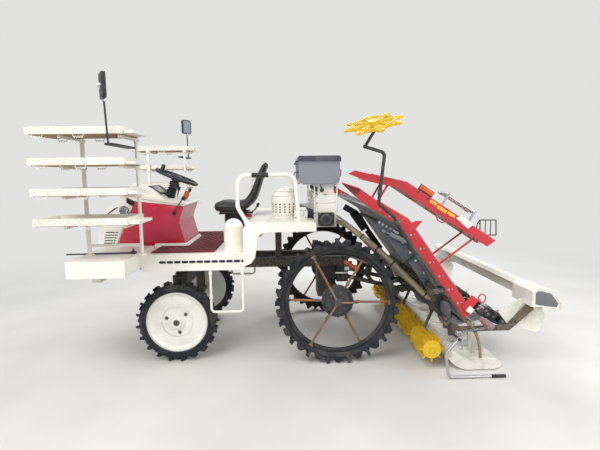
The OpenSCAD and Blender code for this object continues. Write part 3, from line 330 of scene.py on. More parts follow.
def piece(name, build, finish, body, smooth=True, bevel=0.0):
    """A mesh piece: build fills a bmesh; the piece gets its finish and rides on its body."""
    mesh = bpy.data.meshes.new(name)
    bm = bmesh.new()
    build(bm)
    bmesh.ops.recalc_face_normals(bm, faces=bm.faces)
    bm.to_mesh(mesh)
    bm.free()
    obj = bpy.data.objects.new(name, mesh)
    bpy.context.scene.collection.objects.link(obj)
    obj.data.materials.append(FINISHES[finish])
    if smooth:
        mesh.shade_smooth()
        edge = obj.modifiers.new("sharp", "EDGE_SPLIT")
        edge.split_angle = radians(38)
    if bevel:
        mod = obj.modifiers.new("bevel", "BEVEL")
        mod.width = bevel
        mod.segments = 2
        mod.limit_method = "ANGLE"
        obj.modifiers.move(len(obj.modifiers) - 1, 0)
    if body:
        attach(obj, body)
    return obj


def tube(bm, points, radii, sides=12, closed=False, flat=1.0):
    """A tube of varying radius along points; flat squeezes it along its side."""
    points = [Vector(p) for p in points]
    n = len(points)
    side = Vector((0, 1, 0))
    rings = []
    for i, p in enumerate(points):
        a = points[(i - 1) % n] if closed or i else points[0]
        b = points[(i + 1) % n] if closed or i < n - 1 else points[-1]
        d = (b - a).normalized()
        u = d.cross(side)
        if u.length < 1e-4:
            u = d.cross(Vector((1, 0, 0)))
        u.normalize()
        side = u.cross(d).normalized()
        r = radii[i] if isinstance(radii, (list, tuple)) else radii
        rings.append([bm.verts.new(p + r * (cos(t) * u + flat * sin(t) * side))
                      for t in (2 * pi * k / sides for k in range(sides))])
    for i in range(n if closed else n - 1):
        a, b = rings[i], rings[(i + 1) % n]
        for k in range(sides):
            bm.faces.new((a[k], a[(k + 1) % sides], b[(k + 1) % sides], b[k]))
    if not closed:
        bm.faces.new(list(reversed(rings[0])))
        bm.faces.new(rings[-1])


def bar(bm, a, b, r, sides=8):
    """A straight round bar from a to b."""
    tube(bm, [a, Vector(a).lerp(Vector(b), 0.5), b], r, sides)


def frame_bars(bm, corners, r, sides=8):
    """Straight bars round a closed outline."""
    for a, b in zip(corners, corners[1:] + corners[:1]):
        bar(bm, a, b, r, sides)


def collar(bm, at, way, reach, radii, sides):
    """A sleeve about at with chamfered ends: reach and radii give the ends' values, then the middle's."""
    at, way = Vector(at), Vector(way)
    tube(bm, [at + way * t for t in (-reach[0], -reach[1], reach[1], reach[0])],
         [radii[0], radii[1], radii[1], radii[0]], sides)


def block(bm, lo, hi, turn=None, about=None):
    """A box, turned by a matrix about a point if asked."""
    lo, hi = Vector(lo), Vector(hi)
    c = (lo + hi) / 2 if about is None else Vector(about)
    for v in bmesh.ops.create_cube(bm, size=1.0)["verts"]:
        v.co = Vector([(v.co[i] + 0.5) * (hi[i] - lo[i]) + lo[i] for i in range(3)])
        if turn is not None:
            v.co = turn @ (v.co - c) + c


def across(side, a, b):
    """Two distances from the middle plane, on one side of it, as rising y."""
    return sorted((side * a, side * b))


def at_y(points, y):
    """Points of the side view, set at one y."""
    return [(p[0], y, p[1]) for p in points]


def arcs(corners, r, steps):
    """Points of arcs in steps of 30 degrees, one arc for each corner: centre and first angle."""
    return [(u + r * cos(a), v + r * sin(a)) for u, v, start in corners
            for a in (radians(start + 30 * k) for k in range(steps))]


def plate(bm, outline, y0, y1):
    """A plate across the machine, from x, z points."""
    a = [bm.verts.new((x, y0, z)) for x, z in outline]
    b = [bm.verts.new((x, y1, z)) for x, z in outline]
    bm.faces.new(a)
    bm.faces.new(list(reversed(b)))
    for i in range(len(a)):
        j = (i + 1) % len(a)
        bm.faces.new((a[i], b[i], b[j], a[j]))


def disc(bm, centre, axis, r, h, sides=24, r2=None):
    """A short cylinder or cone whose base centre is at centre."""
    axis = Vector(axis).normalized()
    m = Matrix.Translation(Vector(centre) + axis * h / 2) @ axis.to_track_quat("Z", "Y").to_matrix().to_4x4()
    bmesh.ops.create_cone(bm, cap_ends=True, segments=sides, radius1=r, radius2=r if r2 is None else r2, depth=h,
                          matrix=m)


def bolt(bm, at, axis, r=0.008, h=0.006):
    """A hexagon bolt head on a washer."""
    axis = Vector(axis).normalized()
    disc(bm, at, axis, r * 1.5, h * 0.25, 16)
    disc(bm, Vector(at) + axis * h * 0.25, axis, r, h, 6)


def bolt_ring(bm, centre, radius, count, start, r, h=0.004):
    """Upright bolts on a level circle."""
    for k in range(count):
        a = radians(start) + 2 * pi * k / count
        bolt(bm, (centre[0] + radius * cos(a), centre[1] + radius * sin(a), centre[2]), (0, 0, 1), r, h)


def coil(bm, a, b, turns, u, v, r, thick):
    """A coil spring from a to b; u and v span its turns."""
    steps = 10 * turns
    line = []
    for k in range(steps + 1):
        t = 2 * pi * turns * k / steps
        line.append(a + (b - a) * (k / steps) + Vector(u) * (r * cos(t)) + Vector(v) * (r * sin(t)))
    tube(bm, line, thick, 5)


def smooth_route(points, step):
    """Points along a Catmull-Rom curve through points, about step apart."""
    pts = [Vector(p) for p in points]
    pts = [pts[0] * 2 - pts[1]] + pts + [pts[-1] * 2 - pts[-2]]
    out = []
    for i in range(1, len(pts) - 2):
        a, b, c, d = pts[i - 1:i + 3]
        n = max(1, int((c - b).length / step))
        for k in range(n):
            t = k / n
            out.append(0.5 * ((2 * b) + (c - a) * t + (2 * a - 5 * b + 4 * c - d) * t * t
                              + (3 * b - a - 3 * c + d) * t ** 3))
    out.append(pts[-2])
    return out


# Places that several pieces share, in metres

def middle(node):
    """Middle of a solid's box at rest."""
    lo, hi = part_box(node)
    return (Vector(lo) + Vector(hi)) / 2


class Run:
    """A straight edge in the side view; a point is given by the way along it and the height square to it."""

    def __init__(self, start, end):
        self.start = Vector(start)
        self.way = (Vector(end) - self.start).normalized()
        self.up = Vector((-self.way[1], self.way[0]))
        self.length = (Vector(end) - self.start).length

    def at(self, along, up=0.0):
        return self.start + self.way * along + self.up * up

    def strip(self, a, b, low, high):
        """Corners of a strip from a to b along the edge, between two heights."""
        return self.line((a, low), (b, low), (b, high), (a, high))

    def line(self, *marks):
        """Points of a line, each given by along and up."""
        return [self.at(along, up) for along, up in marks]

    def point(self, along, up, y):
        """A point in space, at y across the machine."""
        p = self.at(along, up)
        return p[0], y, p[1]


NEAR_RAIL_TOP = Run((0.465, 1.236), (0.684, 1.104))
NEAR_RAIL = Run((0.684, 1.104), (1.153, 0.432))
SIDE_RAIL_TOP = Run((0.470, 1.415), (0.732, 1.352))
SIDE_RAIL = Run((0.732, 1.352), (1.410, 0.905))
LANE_Y = [(lane - 2.5) * 0.850 / 3 for lane in range(6)]
ROW_Y = (-0.6, 0.0, 0.6)
HOSE_ROWS = (-2.5, -1.5, -0.5, 0.5, 1.5, 2.5)


def spin_row(centre, radius, count, place, start=0.0):
    """Calls place(point, angle) round an axis along Y."""
    for k in range(count):
        a = radians(start) + 2 * pi * k / count
        place((centre[0] + radius * cos(a), centre[1], centre[2] + radius * sin(a)), a)


def ring(bm, centre, radius, thick, axis="Y", steps=40, sides=8, squash=1.0):
    """A closed ring about an axis."""
    pts = []
    for k in range(steps):
        a = 2 * pi * k / steps
        u, v = radius * cos(a), radius * squash * sin(a)
        offset = {"Y": (u, 0, v), "X": (0, u, v), "Z": (u, v, 0)}[axis]
        pts.append(Vector(centre) + Vector(offset))
    tube(bm, pts, thick, sides, closed=True)


def wire(bm, points, r, step=0.02, sides=8):
    """A round wire on a smooth line through points."""
    tube(bm, smooth_route(points, step), r, sides)


# Sizes and colours that a user would change

class TransplanterColours(bpy.types.PropertyGroup):
    cream: bpy.props.StringProperty(name="Cream", description="Colour of the body mouldings", default="#ebe7dc")
    red: bpy.props.StringProperty(name="Red", description="Colour of the console panels", default="#c41f42")
    rail_red: bpy.props.StringProperty(name="Rail red", description="Colour of the stage rails", default="#c02c34")
    yellow: bpy.props.StringProperty(name="Yellow", description="Colour of the marker and leveller", default="#dcb51f")


class TransplanterSizes(bpy.types.PropertyGroup):
    hose_diameter: bpy.props.FloatProperty(name="Hose", description="Outer diameter of a spreader hose",
                                           default=0.044, unit="LENGTH")
    hose_rib_pitch: bpy.props.FloatProperty(name="Hose ribs", description="Distance between the hoses' ribs",
                                            default=0.009, unit="LENGTH")


class TRANSPLANTER_OT_stage(bpy.types.Operator):
    """Floor, soft light and the camera"""
    bl_idname = "transplanter.stage"
    bl_label = "Stage and Camera"

    sky_light = ((0.93, 0.96, 1.0, 1), 0.66)
    # Name, place, size and power
    lamps = (("key", (-2.6, -4.2, 5.2), 4.0, 290), ("fill", (4.2, -3.4, 3.2), 4.0, 130),
             ("rim", (1.5, 4.5, 4.6), 3.0, 190))
    aim = (0, 0, 0.7)
    camera_at = (-0.165, -3.78, 1.415)
    # Degrees: to the right, down and clockwise
    camera_turn = (2.0, 6.6, 0.77)
    lens = 25.8
    # Distances from the middle between which the floor runs into the backdrop
    fade = (2.2, 6.5)

    def execute(self, context):
        scene = context.scene
        scene.view_settings.view_transform = "Standard"
        self.sky(scene)
        self.floor(scene)
        for name, at, size, energy in self.lamps:
            data = bpy.data.lights.new(name, "AREA")
            data.size = size
            data.energy = energy
            lamp = bpy.data.objects.new(name, data)
            lamp.location = at
            lamp.rotation_euler = (Vector(self.aim) - Vector(at)).to_track_quat("-Z", "Y").to_euler()
            scene.collection.objects.link(lamp)
        self.camera(scene)
        return {"FINISHED"}

    def sky(self, scene):
        """Soft light all round, and a plain backdrop for the camera."""
        world = bpy.data.worlds.new("studio")
        scene.world = world
        world.use_nodes = True
        tree = world.node_tree
        tree.nodes.clear()
        out = tree.nodes.new("ShaderNodeOutputWorld")
        pick = tree.nodes.new("ShaderNodeMixShader")
        ray = tree.nodes.new("ShaderNodeLightPath")
        soft = tree.nodes.new("ShaderNodeBackground")
        back = tree.nodes.new("ShaderNodeBackground")
        soft.inputs[0].default_value, soft.inputs[1].default_value = self.sky_light
        back.inputs[0].default_value = BACKDROP
        back.inputs[1].default_value = 1.0
        tree.links.new(ray.outputs["Is Camera Ray"], pick.inputs[0])
        tree.links.new(soft.outputs[0], pick.inputs[1])
        tree.links.new(back.outputs[0], pick.inputs[2])
        tree.links.new(pick.outputs[0], out.inputs[0])

    def floor(self, scene):
        mesh = bpy.data.meshes.new("floor")
        bm = bmesh.new()
        for v in bmesh.ops.create_grid(bm, x_segments=1, y_segments=1, size=14)["verts"]:
            v.co.z = -0.001
        bm.to_mesh(mesh)
        bm.free()
        floor = bpy.data.objects.new("floor", mesh)
        scene.collection.objects.link(floor)
        f = Finish("pale_floor")
        f.link(f.mix(f.ramp(f.noise(1.2, 5.0), 0.3, 0.7), linear("#cfcdc8"), linear("#d8d6d2")),
               f.bsdf.inputs["Base Color"])
        f.bsdf.inputs["Roughness"].default_value = 0.9
        f.bump(f.noise(90.0, 5.0), 0.15, 0.001)
        reach = f.add("ShaderNodeVectorMath", operation="LENGTH")
        f.link(f.coord, reach.inputs[0])
        glow = f.add("ShaderNodeEmission")
        glow.inputs[0].default_value = BACKDROP
        blend = f.add("ShaderNodeMixShader")
        f.link(f.ramp(reach.outputs["Value"], *self.fade), blend.inputs[0])
        f.link(f.bsdf.outputs[0], blend.inputs[1])
        f.link(glow.outputs[0], blend.inputs[2])
        f.link(blend.outputs[0], f.tree.nodes["Material Output"].inputs["Surface"])
        mesh.materials.append(f.mat)

    def camera(self, scene):
        pan, tip, roll = (radians(a) for a in self.camera_turn)
        ahead = Vector((sin(pan), cos(pan), 0))
        right = Vector((cos(pan), -sin(pan), 0))
        view = ahead * cos(tip) - Vector((0, 0, sin(tip)))
        up = Vector((0, 0, cos(tip))) + ahead * sin(tip)
        wide = right * cos(roll) - up * sin(roll)
        top = up * cos(roll) + right * sin(roll)
        data = bpy.data.cameras.new("camera")
        data.lens = self.lens
        data.sensor_width = 36
        cam = bpy.data.objects.new("camera", data)
        cam.matrix_world = Matrix.Translation(self.camera_at) @ Matrix((wide, top, -view)).transposed().to_4x4()
        scene.collection.objects.link(cam)
        scene.camera = cam


class TRANSPLANTER_OT_paint(bpy.types.Operator):
    """Finishes on the solids that show"""
    bl_idname = "transplanter.paint"
    bl_label = "Paint the Solids"

    def execute(self, context):
        make_finishes(context.scene.transplanter_colours)
        for name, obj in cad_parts.items():
            mat = FINISHES[NODE_FINISH[name]]
            obj.data.materials.clear()
            obj.data.materials.append(mat)
        return {"FINISHED"}


class TRANSPLANTER_OT_wheels(bpy.types.Operator):
    """Bolts, caps, spokes' ends, lugs' feet and moulded rings of the wheels"""
    bl_idname = "transplanter.wheels"
    bl_label = "Wheel Fittings"

    # Radius and height over the hub's middle of a spoke that crosses the hub
    SPOKE_END = ((0.006, 0.043), (0.016, 0.044), (0.112, 0.041), (0.130, 0.034), (0.165, 0.014))
    # Radius and way along the tyre of a lug's foot, round its outline
    LUG_FOOT = ((0.428, -0.040), (0.436, -0.036), (0.463, -0.014), (0.463, 0.014), (0.436, 0.036), (0.428, 0.040))

    def execute(self, context):
        for side, tag in SIDES:
            self.front(side, tag)
            self.rear(side, tag)
        return {"FINISHED"}

    def front(self, side, tag):
        c = middle("front_wheel_" + tag)
        out = (0, side, 0)

        def bolts(bm):
            face = (c.x, c.y + side * 0.0212, c.z)
            spin_row(face, 0.086, 3, lambda p, a: bolt(bm, p, out, 0.009, 0.008), 40)
            disc(bm, (c.x, c.y + side * 0.054, c.z), out, 0.024, 0.006, 24, 0.019)

        piece("front_bolts_" + tag, bolts, "dark_grey", "front_" + tag)

        def rings(bm):
            for s in (-1, 1):
                for r, t in ((0.2445, 0.0026), (0.2545, 0.0018)):
                    ring(bm, (c.x, c.y + s * (0.0475 + (r - 0.2445) * 0.14), c.z), r, t, steps=64, sides=6)

        piece("front_tyre_rings_" + tag, rings, "rubber", "front_" + tag)

        def edge(bm):
            ring(bm, (c.x, c.y + side * 0.036, c.z), 0.226, 0.0035, steps=64, sides=8)
            ring(bm, (c.x, c.y + side * 0.0212, c.z), 0.118, 0.0022, steps=48, sides=6)

        piece("front_disc_rings_" + tag, edge, "white", "front_" + tag)

    def rear(self, side, tag):
        c = middle("rear_wheel_" + tag)
        out = (0, side, 0)

        def hub(bm):
            face = (c.x, c.y + side * 0.031, c.z)
            spin_row(face, 0.070, 6, lambda p, a: bolt(bm, p, out, 0.008, 0.007), 15)
            disc(bm, (c.x, c.y + side * 0.048, c.z), out, 0.030, 0.004, 24, 0.026)
            disc(bm, (c.x, c.y + side * 0.052, c.z), out, 0.012, 0.003, 6)
            spin_row((c.x, c.y + side * 0.010, c.z), 0.1185, 12,
                     lambda p, a: bolt(bm, p, (cos(a), 0, sin(a)), 0.006, 0.004))

        piece("rear_hub_" + tag, hub, "dark_grey", "rear_" + tag)

        def clamps(bm):
            for k in range(6):
                a = radians(60 * k - 2)
                z = 0.009 if k % 2 == 0 else -0.015
                way = Vector((cos(a), 0, sin(a)))
                # The spokes lean with the wheel's own turn: local z is outward on the left.
                at = Vector((c.x, c.y + (-z if side == LEFT else z), c.z))
                for r in (0.150, 0.372):
                    collar(bm, at + way * r, way, (0.012, 0.010), (0.0095, 0.0125), 14)

        piece("spoke_collars_" + tag, clamps, "rust", "rear_" + tag)

        def ends(bm):
            for k in range(3):
                a = radians(120 * k - 2)
                way = Vector((cos(a), 0, sin(a)))
                line = [Vector((c.x, c.y + side * lift, c.z)) + way * r for r, lift in self.SPOKE_END]
                tube(bm, line, [0.006, 0.0085, 0.0085, 0.0085, 0.0080], 12)

        piece("spoke_ends_" + tag, ends, "spoke", "rear_" + tag)

        def bead(bm):
            ring(bm, c, 0.383, 0.0185, steps=96, sides=14)
            for s in (-1, 1):
                for k in range(18):
                    mid = radians(20 * (k + (0.5 if s > 0 else 0.0)) - 90)
                    foot = [(c.x + r * cos(mid + w / r), c.z + r * sin(mid + w / r))
                            for r, w in self.LUG_FOOT]
                    plate(bm, foot, *sorted((c.y + s * 0.002, c.y + s * 0.049)))

        piece("rear_tyre_feet_" + tag, bead, "rubber", "rear_" + tag, bevel=0.003)


class TRANSPLANTER_OT_racks(bpy.types.Operator):
    """Seedling racks: rolled edges, tan undersides, wire clips and clamps; the mirrors' glass"""
    bl_idname = "transplanter.racks"
    bl_label = "Seedling Racks"

    shelf_tops = (1.160, 1.349, 1.538, 1.727)
    edge = 0.042
    reach = (-1.740, -1.154)
    span = (0.740, 1.060)
    corner = 0.0175
    clip_length = 0.062
    clip_wire = 0.0024
    post_y = 0.722
    mirror_y = 1.104

    def execute(self, context):
        for side, tag in SIDES:
            self.shelves(side, tag)
            self.clips(side, tag)
            self.clamps(side, tag)
        self.mirrors()
        return {"FINISHED"}

    def shelves(self, side, tag):
        x0, x1 = self.reach
        y0, y1 = self.span

        def lips(bm):
            low_x, high_x, low_y, high_y = x0 + self.corner, x1 - self.corner, y0 + self.corner, y1 - self.corner
            outline = arcs(((high_x, high_y, 0), (low_x, high_y, 90), (low_x, low_y, 180), (high_x, low_y, 270)),
                           0.012, 4)
            for z in self.shelf_tops:
                tube(bm, [(x, side * y, z - 0.001) for x, y in outline], 0.0045, 6, closed=True)
                for y in (y0 + 0.085, (y0 + y1) / 2, y1 - 0.085):
                    a, b = across(side, y - 0.006, y + 0.006)
                    block(bm, (x0 + 0.014, a, z - 0.0355), (x1 - 0.012, b, z - 0.030))

        piece("rack_lips_" + tag, lips, "white", "chassis")

        def tan_undersides(bm):
            # A tan sheet under each shelf makes the shelves' undersides tan.
            for z in self.shelf_tops:
                a, b = across(side, y0 + 0.010, y1 - 0.010)
                block(bm, (x0 + 0.016, a, z - self.edge - 0.0036), (x1 - 0.006, b, z - self.edge + 0.0002))

        piece("rack_tan_undersides_" + tag, tan_undersides, "tan_underside", "chassis", smooth=False)

        def ends(bm):
            for z in self.shelf_tops:
                a, b = across(side, y0 + 0.026, y1 - 0.026)
                block(bm, (-1.0905, a, z - 0.0395), (-1.0885, b, z - 0.0205))
                for y in (y0 + 0.04, y1 - 0.04):
                    disc(bm, (-1.118, side * y, z - 0.022), (0, 0, 1), 0.006, 0.003, 12)

        piece("rack_stub_ends_" + tag, ends, "white", "chassis")

    def clips(self, side, tag):
        def clip(bm, x, y, z):
            low = z - 0.013
            pts = []
            for t in (k / 24 for k in range(25)):
                lobe = abs(0.011 * sin(4 * pi * t))
                pts.append((x + self.clip_length * t + 0.006 * sin(8 * pi * t), y, low - lobe))
            tube(bm, pts, self.clip_wire, 6)
            for end in (x, x + self.clip_length):
                wire(bm, [(end, y, low), (end, y, z + 0.004)], self.clip_wire)

        def build(bm):
            for z in self.shelf_tops:
                for x in (-1.700, -1.452):
                    for y in (self.span[1] - 0.004, self.span[0] + 0.004):
                        clip(bm, x, side * y, z - self.edge)

        piece("rack_clips_" + tag, build, "white", "chassis")

    def clamps(self, side, tag):
        def build(bm):
            y = side * self.post_y
            for x, r in ((-1.552, 0.015), (-1.184, 0.012)):
                for z in self.shelf_tops:
                    low = z - self.edge - 0.024
                    tube(bm, [(x, y, low + t) for t in (-0.006, -0.003, 0.018, 0.020)],
                         [r + 0.001, r + 0.005, r + 0.005, r + 0.001], 18)
                    bolt(bm, (x, y - side * (r + 0.004), low + 0.007), (0, -side, 0), 0.006, 0.006)
                    bolt(bm, (x + r + 0.004, y, low + 0.007), (1, 0, 0), 0.005, 0.005)
                bolt_ring(bm, (x, y, 0.8754), 0.0235, 4, 45, 0.0042)

        piece("rack_clamps_" + tag, build, "white", "chassis")

    def mirrors(self):
        for side, tag in SIDES:
            y = side * self.mirror_y
            turn = Matrix.Rotation(radians(-30 * side), 3, "Z")
            about = (-1.236, y, 1.960)

            def glass(bm):
                block(bm, (-1.2285, y - 0.056, 1.894), (-1.2265, y + 0.056, 2.026), turn, about)

            piece("mirror_glass_" + tag, glass, "mirror_glass", "chassis", smooth=False, bevel=0.0008)

            def knob(bm):
                tube(bm, [(-1.2325, y, 1.868), (-1.233, y, 1.880), (-1.234, y, 1.892)],
                     [0.010, 0.012, 0.009], 14)
                back = turn @ Vector((-1, 0, 0))
                tube(bm, [Vector(about) + back * t for t in (0.010, 0.014, 0.024, 0.030)],
                     [0.017, 0.019, 0.011, 0.008], 18)

            piece("mirror_joint_" + tag, knob, "bright", "chassis")


class TRANSPLANTER_OT_front(bpy.types.Operator):
    """Bonnet trim, lamps, console panels, dashboard, levers and steering wheel"""
    bl_idname = "transplanter.front"
    bl_label = "Bonnet and Dashboard"

    # The console panel's ends in the side view, from the foot up
    front_edge = ((-1.530, 0.852), (-1.470, 1.000), (-1.382, 1.176), (-1.368, 1.218))
    rear_edge = ((-0.977, 0.852), (-1.000, 0.950), (-1.024, 1.052), (-0.985, 1.176))
    steering_hub = Vector((-1.092, 0, 1.414))
    steering_lean = 22.4
    louvre_corners = ((-1.566, 0.972, 0), (-1.650, 0.972, 90), (-1.672, 0.884, 180), (-1.590, 0.884, 270))

    def execute(self, context):
        for side, tag in SIDES:
            self.bonnet(side, tag)
            self.lamp(side, tag)
            self.panel(side, tag)
        self.flange()
        self.nose()
        self.dash()
        self.levers()
        self.wheel()
        self.side_rod()
        return {"FINISHED"}

    @staticmethod
    def bonnet_y(x):
        """Half width of the bonnet, which widens faster ahead of its corner."""
        return 0.235 + (x + 1.645) * (0.944 if x < -1.645 else 0.087)

    def on_bonnet(self, bm, side, outline, thick):
        """A thin strip that lies on the bonnet's side wall."""
        a, b = [], []
        for x, z in outline:
            y = self.bonnet_y(x)
            a.append(bm.verts.new((x, side * (y - 0.001), z)))
            b.append(bm.verts.new((x, side * (y + thick), z)))
        n = len(outline) // 2
        for k in range(n - 1):
            i, j = k, 2 * n - 1 - k
            bm.faces.new((b[i], b[i + 1], b[j - 1], b[j]))
            bm.faces.new((a[i], a[i + 1], a[j - 1], a[j]))
        for i in range(len(a)):
            j = (i + 1) % len(a)
            bm.faces.new((a[i], b[i], b[j], a[j]))

    def band(self, points, half):
        """Outline of a band of half width along points."""
        up, down = [], []
        for i, p in enumerate(points):
            a = Vector(points[max(i - 1, 0)])
            b = Vector(points[min(i + 1, len(points) - 1)])
            n = (b - a).normalized()
            n = Vector((-n[1], n[0]))
            h = half[i] if isinstance(half, (list, tuple)) else half
            up.append(tuple(Vector(p) + n * h))
            down.append(tuple(Vector(p) - n * h))
        return up + down[::-1]

    def bonnet(self, side, tag):
        def line(bm):
            pts = [(-1.640, 1.088), (-1.610, 1.117), (-1.578, 1.142), (-1.545, 1.163), (-1.517, 1.176)]
            self.on_bonnet(bm, side, self.band(pts, [0.0015, 0.004, 0.0055, 0.006, 0.003]), 0.0015)

        piece("bonnet_line_" + tag, line, "dark_red", "bonnet_body")

        def strip(bm):
            pts = [(-1.562, 0.842), (-1.548, 0.880), (-1.506, 0.985), (-1.470, 1.060), (-1.424, 1.158)]
            self.on_bonnet(bm, side, self.band(pts, [0.010, 0.012, 0.012, 0.010, 0.006]), 0.004)

        piece("bonnet_strip_" + tag, strip, "cream", "bonnet_body", bevel=0.0015)

        def frame_line(bm):
            loop = [(x, side * (self.bonnet_y(x) + 0.0005), z) for x, z in arcs(self.louvre_corners, 0.014, 4)]
            tube(bm, loop, 0.0035, 6, closed=True)

        piece("louvre_frame_" + tag, frame_line, "cream", "bonnet_body")

        def shade_backing(bm):
            # The dark grey sheet behind the slots is painted shade of the recess; the six blocks below it are the
            # louvre slats.
            bm.faces.new([bm.verts.new((x, side * (self.bonnet_y(x) - 0.016), z)) for x, z in
                          ((-1.668, 0.868), (-1.574, 0.868), (-1.536, 0.982), (-1.648, 0.982))])
            for i in range(6):
                z = 0.872 + 0.021 * i
                x0, x1 = -1.666 + 0.004 * i, -1.576 + 0.007 * i
                y0, y1 = across(side, self.bonnet_y(x0) - 0.018, self.bonnet_y(x0) - 0.010)
                block(bm, (x0, y0, z), (x1, y1, z + 0.003), Matrix.Rotation(radians(side * 4.9), 3, "Z"))

        piece("louvre_slats_and_shade_" + tag, shade_backing, "dark_grey", "bonnet_body", smooth=False)

        def seam(bm):
            pts = [(x, side * (self.bonnet_y(x) + 0.0002), z) for x, z in
                   ((-1.720, 1.012), (-1.700, 1.022), (-1.640, 1.030), (-1.560, 1.036), (-1.472, 1.040))]
            wire(bm, pts, 0.0016, 0.02, 6)

        piece("bonnet_seam_" + tag, seam, "grey", "bonnet_body")

    def lamp(self, side, tag):
        turn = Matrix.Rotation(radians(-62 * side), 3, "Z") @ Matrix.Rotation(radians(-74), 3, "Y")
        at = Vector((-1.466, side * 0.250, 1.143))

        def point(x, y, z):
            return at + turn @ Vector((x, y, z))

        def chrome(bm):
            for r, h, t in ((0.0420, 0.0115, 0.0035), (0.0290, 0.0200, 0.0015)):
                loop = [point(r * cos(a), r * sin(a), h) for a in (2 * pi * k / 40 for k in range(40))]
                tube(bm, loop, t, 8, closed=True)

        piece("lamp_ring_" + tag, chrome, "bright", "bonnet_body")

        def ribs(bm):
            for k in range(-4, 5):
                u = 0.0065 * k
                v = sqrt(0.0285 ** 2 - u * u)
                tube(bm, [point(u, -v, 0.0205), point(u, 0, 0.0212), point(u, v, 0.0205)], 0.0009, 5)

        piece("lamp_ribs_" + tag, ribs, "glass", "bonnet_body")

    def panel(self, side, tag):
        """Moulded side panel of the console, with a crease from the foot up to the rear."""
        def edge(points, v):
            n = len(points) - 1
            i = min(int(v * n), n - 1)
            t = v * n - i
            return Vector(points[i]).lerp(Vector(points[i + 1]), t)

        def build(bm):
            nu, nv = 36, 26
            grid = []
            for j in range(nv + 1):
                v = j / nv
                a, b = edge(self.front_edge, v), edge(self.rear_edge, v)
                row = []
                for i in range(nu + 1):
                    u = i / nu
                    p = a.lerp(b, u)
                    fade = (1 - abs(2 * u - 1) ** 5) * (1 - abs(2 * v - 1) ** 5)
                    crease = exp(-((u - 0.30 - 0.52 * v) / 0.16) ** 2)
                    hollow = exp(-((u - 0.86 + 0.10 * v) / 0.10) ** 2) * 0.4
                    swell = 0.006 + 0.016 * crease - 0.006 * hollow
                    row.append(bm.verts.new((p[0], side * (0.2805 + fade * swell), p[1])))
                grid.append(row)
            for j in range(nv):
                for i in range(nu):
                    bm.faces.new((grid[j][i], grid[j][i + 1], grid[j + 1][i + 1], grid[j + 1][i]))
            rim = [grid[0][i] for i in range(nu)] + [grid[j][nu] for j in range(nv)] + \
                  [grid[nv][i] for i in range(nu, 0, -1)] + [grid[j][0] for j in range(nv, 0, -1)]
            back = [bm.verts.new((v.co.x, side * 0.2770, v.co.z)) for v in rim]
            for i in range(len(rim)):
                j = (i + 1) % len(rim)
                bm.faces.new((rim[i], rim[j], back[j], back[i]))

        obj = piece("console_panel_" + tag, build, "red", "chassis")
        obj.modifiers["sharp"].split_angle = radians(60)

    def flange(self):
        """Cream foot of the console."""
        outer = [(-1.222, 0.300), (-0.972, 0.298), (-0.954, 0.284), (-0.952, 0.0)]
        inner = [(-1.222, 0.2815), (-0.982, 0.2815), (-0.9745, 0.270), (-0.9740, 0.0)]

        def build(bm):
            for s in (-1, 1):
                rows = []
                for (ox, oy), (ix, iy) in zip(outer, inner):
                    rows.append([bm.verts.new((x, s * y, z)) for x, y, z in
                                 ((ox, oy, 0.8505), (ox - 0.004, oy - 0.004, 0.862), (ix + 0.004, iy + 0.003, 0.880),
                                  (ix, iy, 0.880), (ix, iy, 0.8505))])
                for a, b in zip(rows, rows[1:]):
                    for k in range(4):
                        bm.faces.new((a[k], a[k + 1], b[k + 1], b[k]))
                bm.faces.new(rows[0])

        piece("console_flange", build, "cream", "chassis")

    def nose(self):
        front, bend, slope = -1.7345, 0.900, 0.085

        def build(bm):
            for i in range(5):
                z = 0.868 + 0.020 * i
                x = front if z < bend else front + 0.001 + (z - bend) * slope
                tube(bm, [(x, -0.105, z), (x, 0, z), (x, 0.105, z)], 0.0042, 8, flat=0.6)
            outline = ((-0.112, 0.858), (0.112, 0.858), (0.118, 0.905), (0.112, 0.962), (-0.112, 0.962),
                       (-0.118, 0.905))
            tube(bm, [(front + max(0, z - bend) * slope, y, z) for y, z in outline], 0.004, 8, closed=True)

        piece("nose_grille", build, "plastic", "bonnet_body")

        def catch(bm):
            block(bm, (-1.7300, -0.030, 0.984), (-1.712, 0.030, 1.004))
            disc(bm, (-1.728, 0, 0.994), (-1, 0, 0.3), 0.011, 0.006, 20, 0.009)

        piece("bonnet_catch", catch, "grey", "bonnet_body", bevel=0.002)

    def dash(self):
        slope = Run((-1.186, 1.262), (-1.312, 1.346))

        def hood(bm):
            plate(bm, slope.strip(0.014, 0.132, 0.004, -0.013), -0.150, 0.150)

        piece("dash_bezel", hood, "dark_grey", "chassis", bevel=0.002)

        def screen(bm):
            plate(bm, slope.strip(0.030, 0.116, -0.008, -0.0142), -0.130, 0.060)

        piece("dash_screen", screen, "screen", "chassis", smooth=False)

        def knobs(bm):
            for y in (0.082, 0.112):
                for a in (0.048, 0.088):
                    disc(bm, slope.point(a, -0.012, y), (0.555, 0, 0.832), 0.010, 0.009, 16, 0.008)

        piece("dash_buttons", knobs, "grey", "chassis")

        def seam(bm):
            line = ((-1.436, 1.270), (-1.380, 1.262), (-1.330, 1.246), (-1.150, 1.215), (-0.985, 1.193))
            for side in (LEFT, RIGHT):
                wire(bm, at_y(line, side * 0.2845), 0.0016, 0.03, 6)

        piece("dash_seam", seam, "grey", "chassis")

    def levers(self):
        """Bellows and shroud of the steering column, the orange switch and the hand levers."""
        lean = radians(self.steering_lean)
        axis = Vector((sin(lean), 0, cos(lean)))
        hub = self.steering_hub

        def bellows(bm):
            tube(bm, [hub + axis * (-0.215 + 0.0095 * k) for k in range(15)],
                 [(0.052 if k % 2 else 0.044) - 0.0009 * k for k in range(15)], 28)

        piece("column_bellows", bellows, "plastic", "chassis")

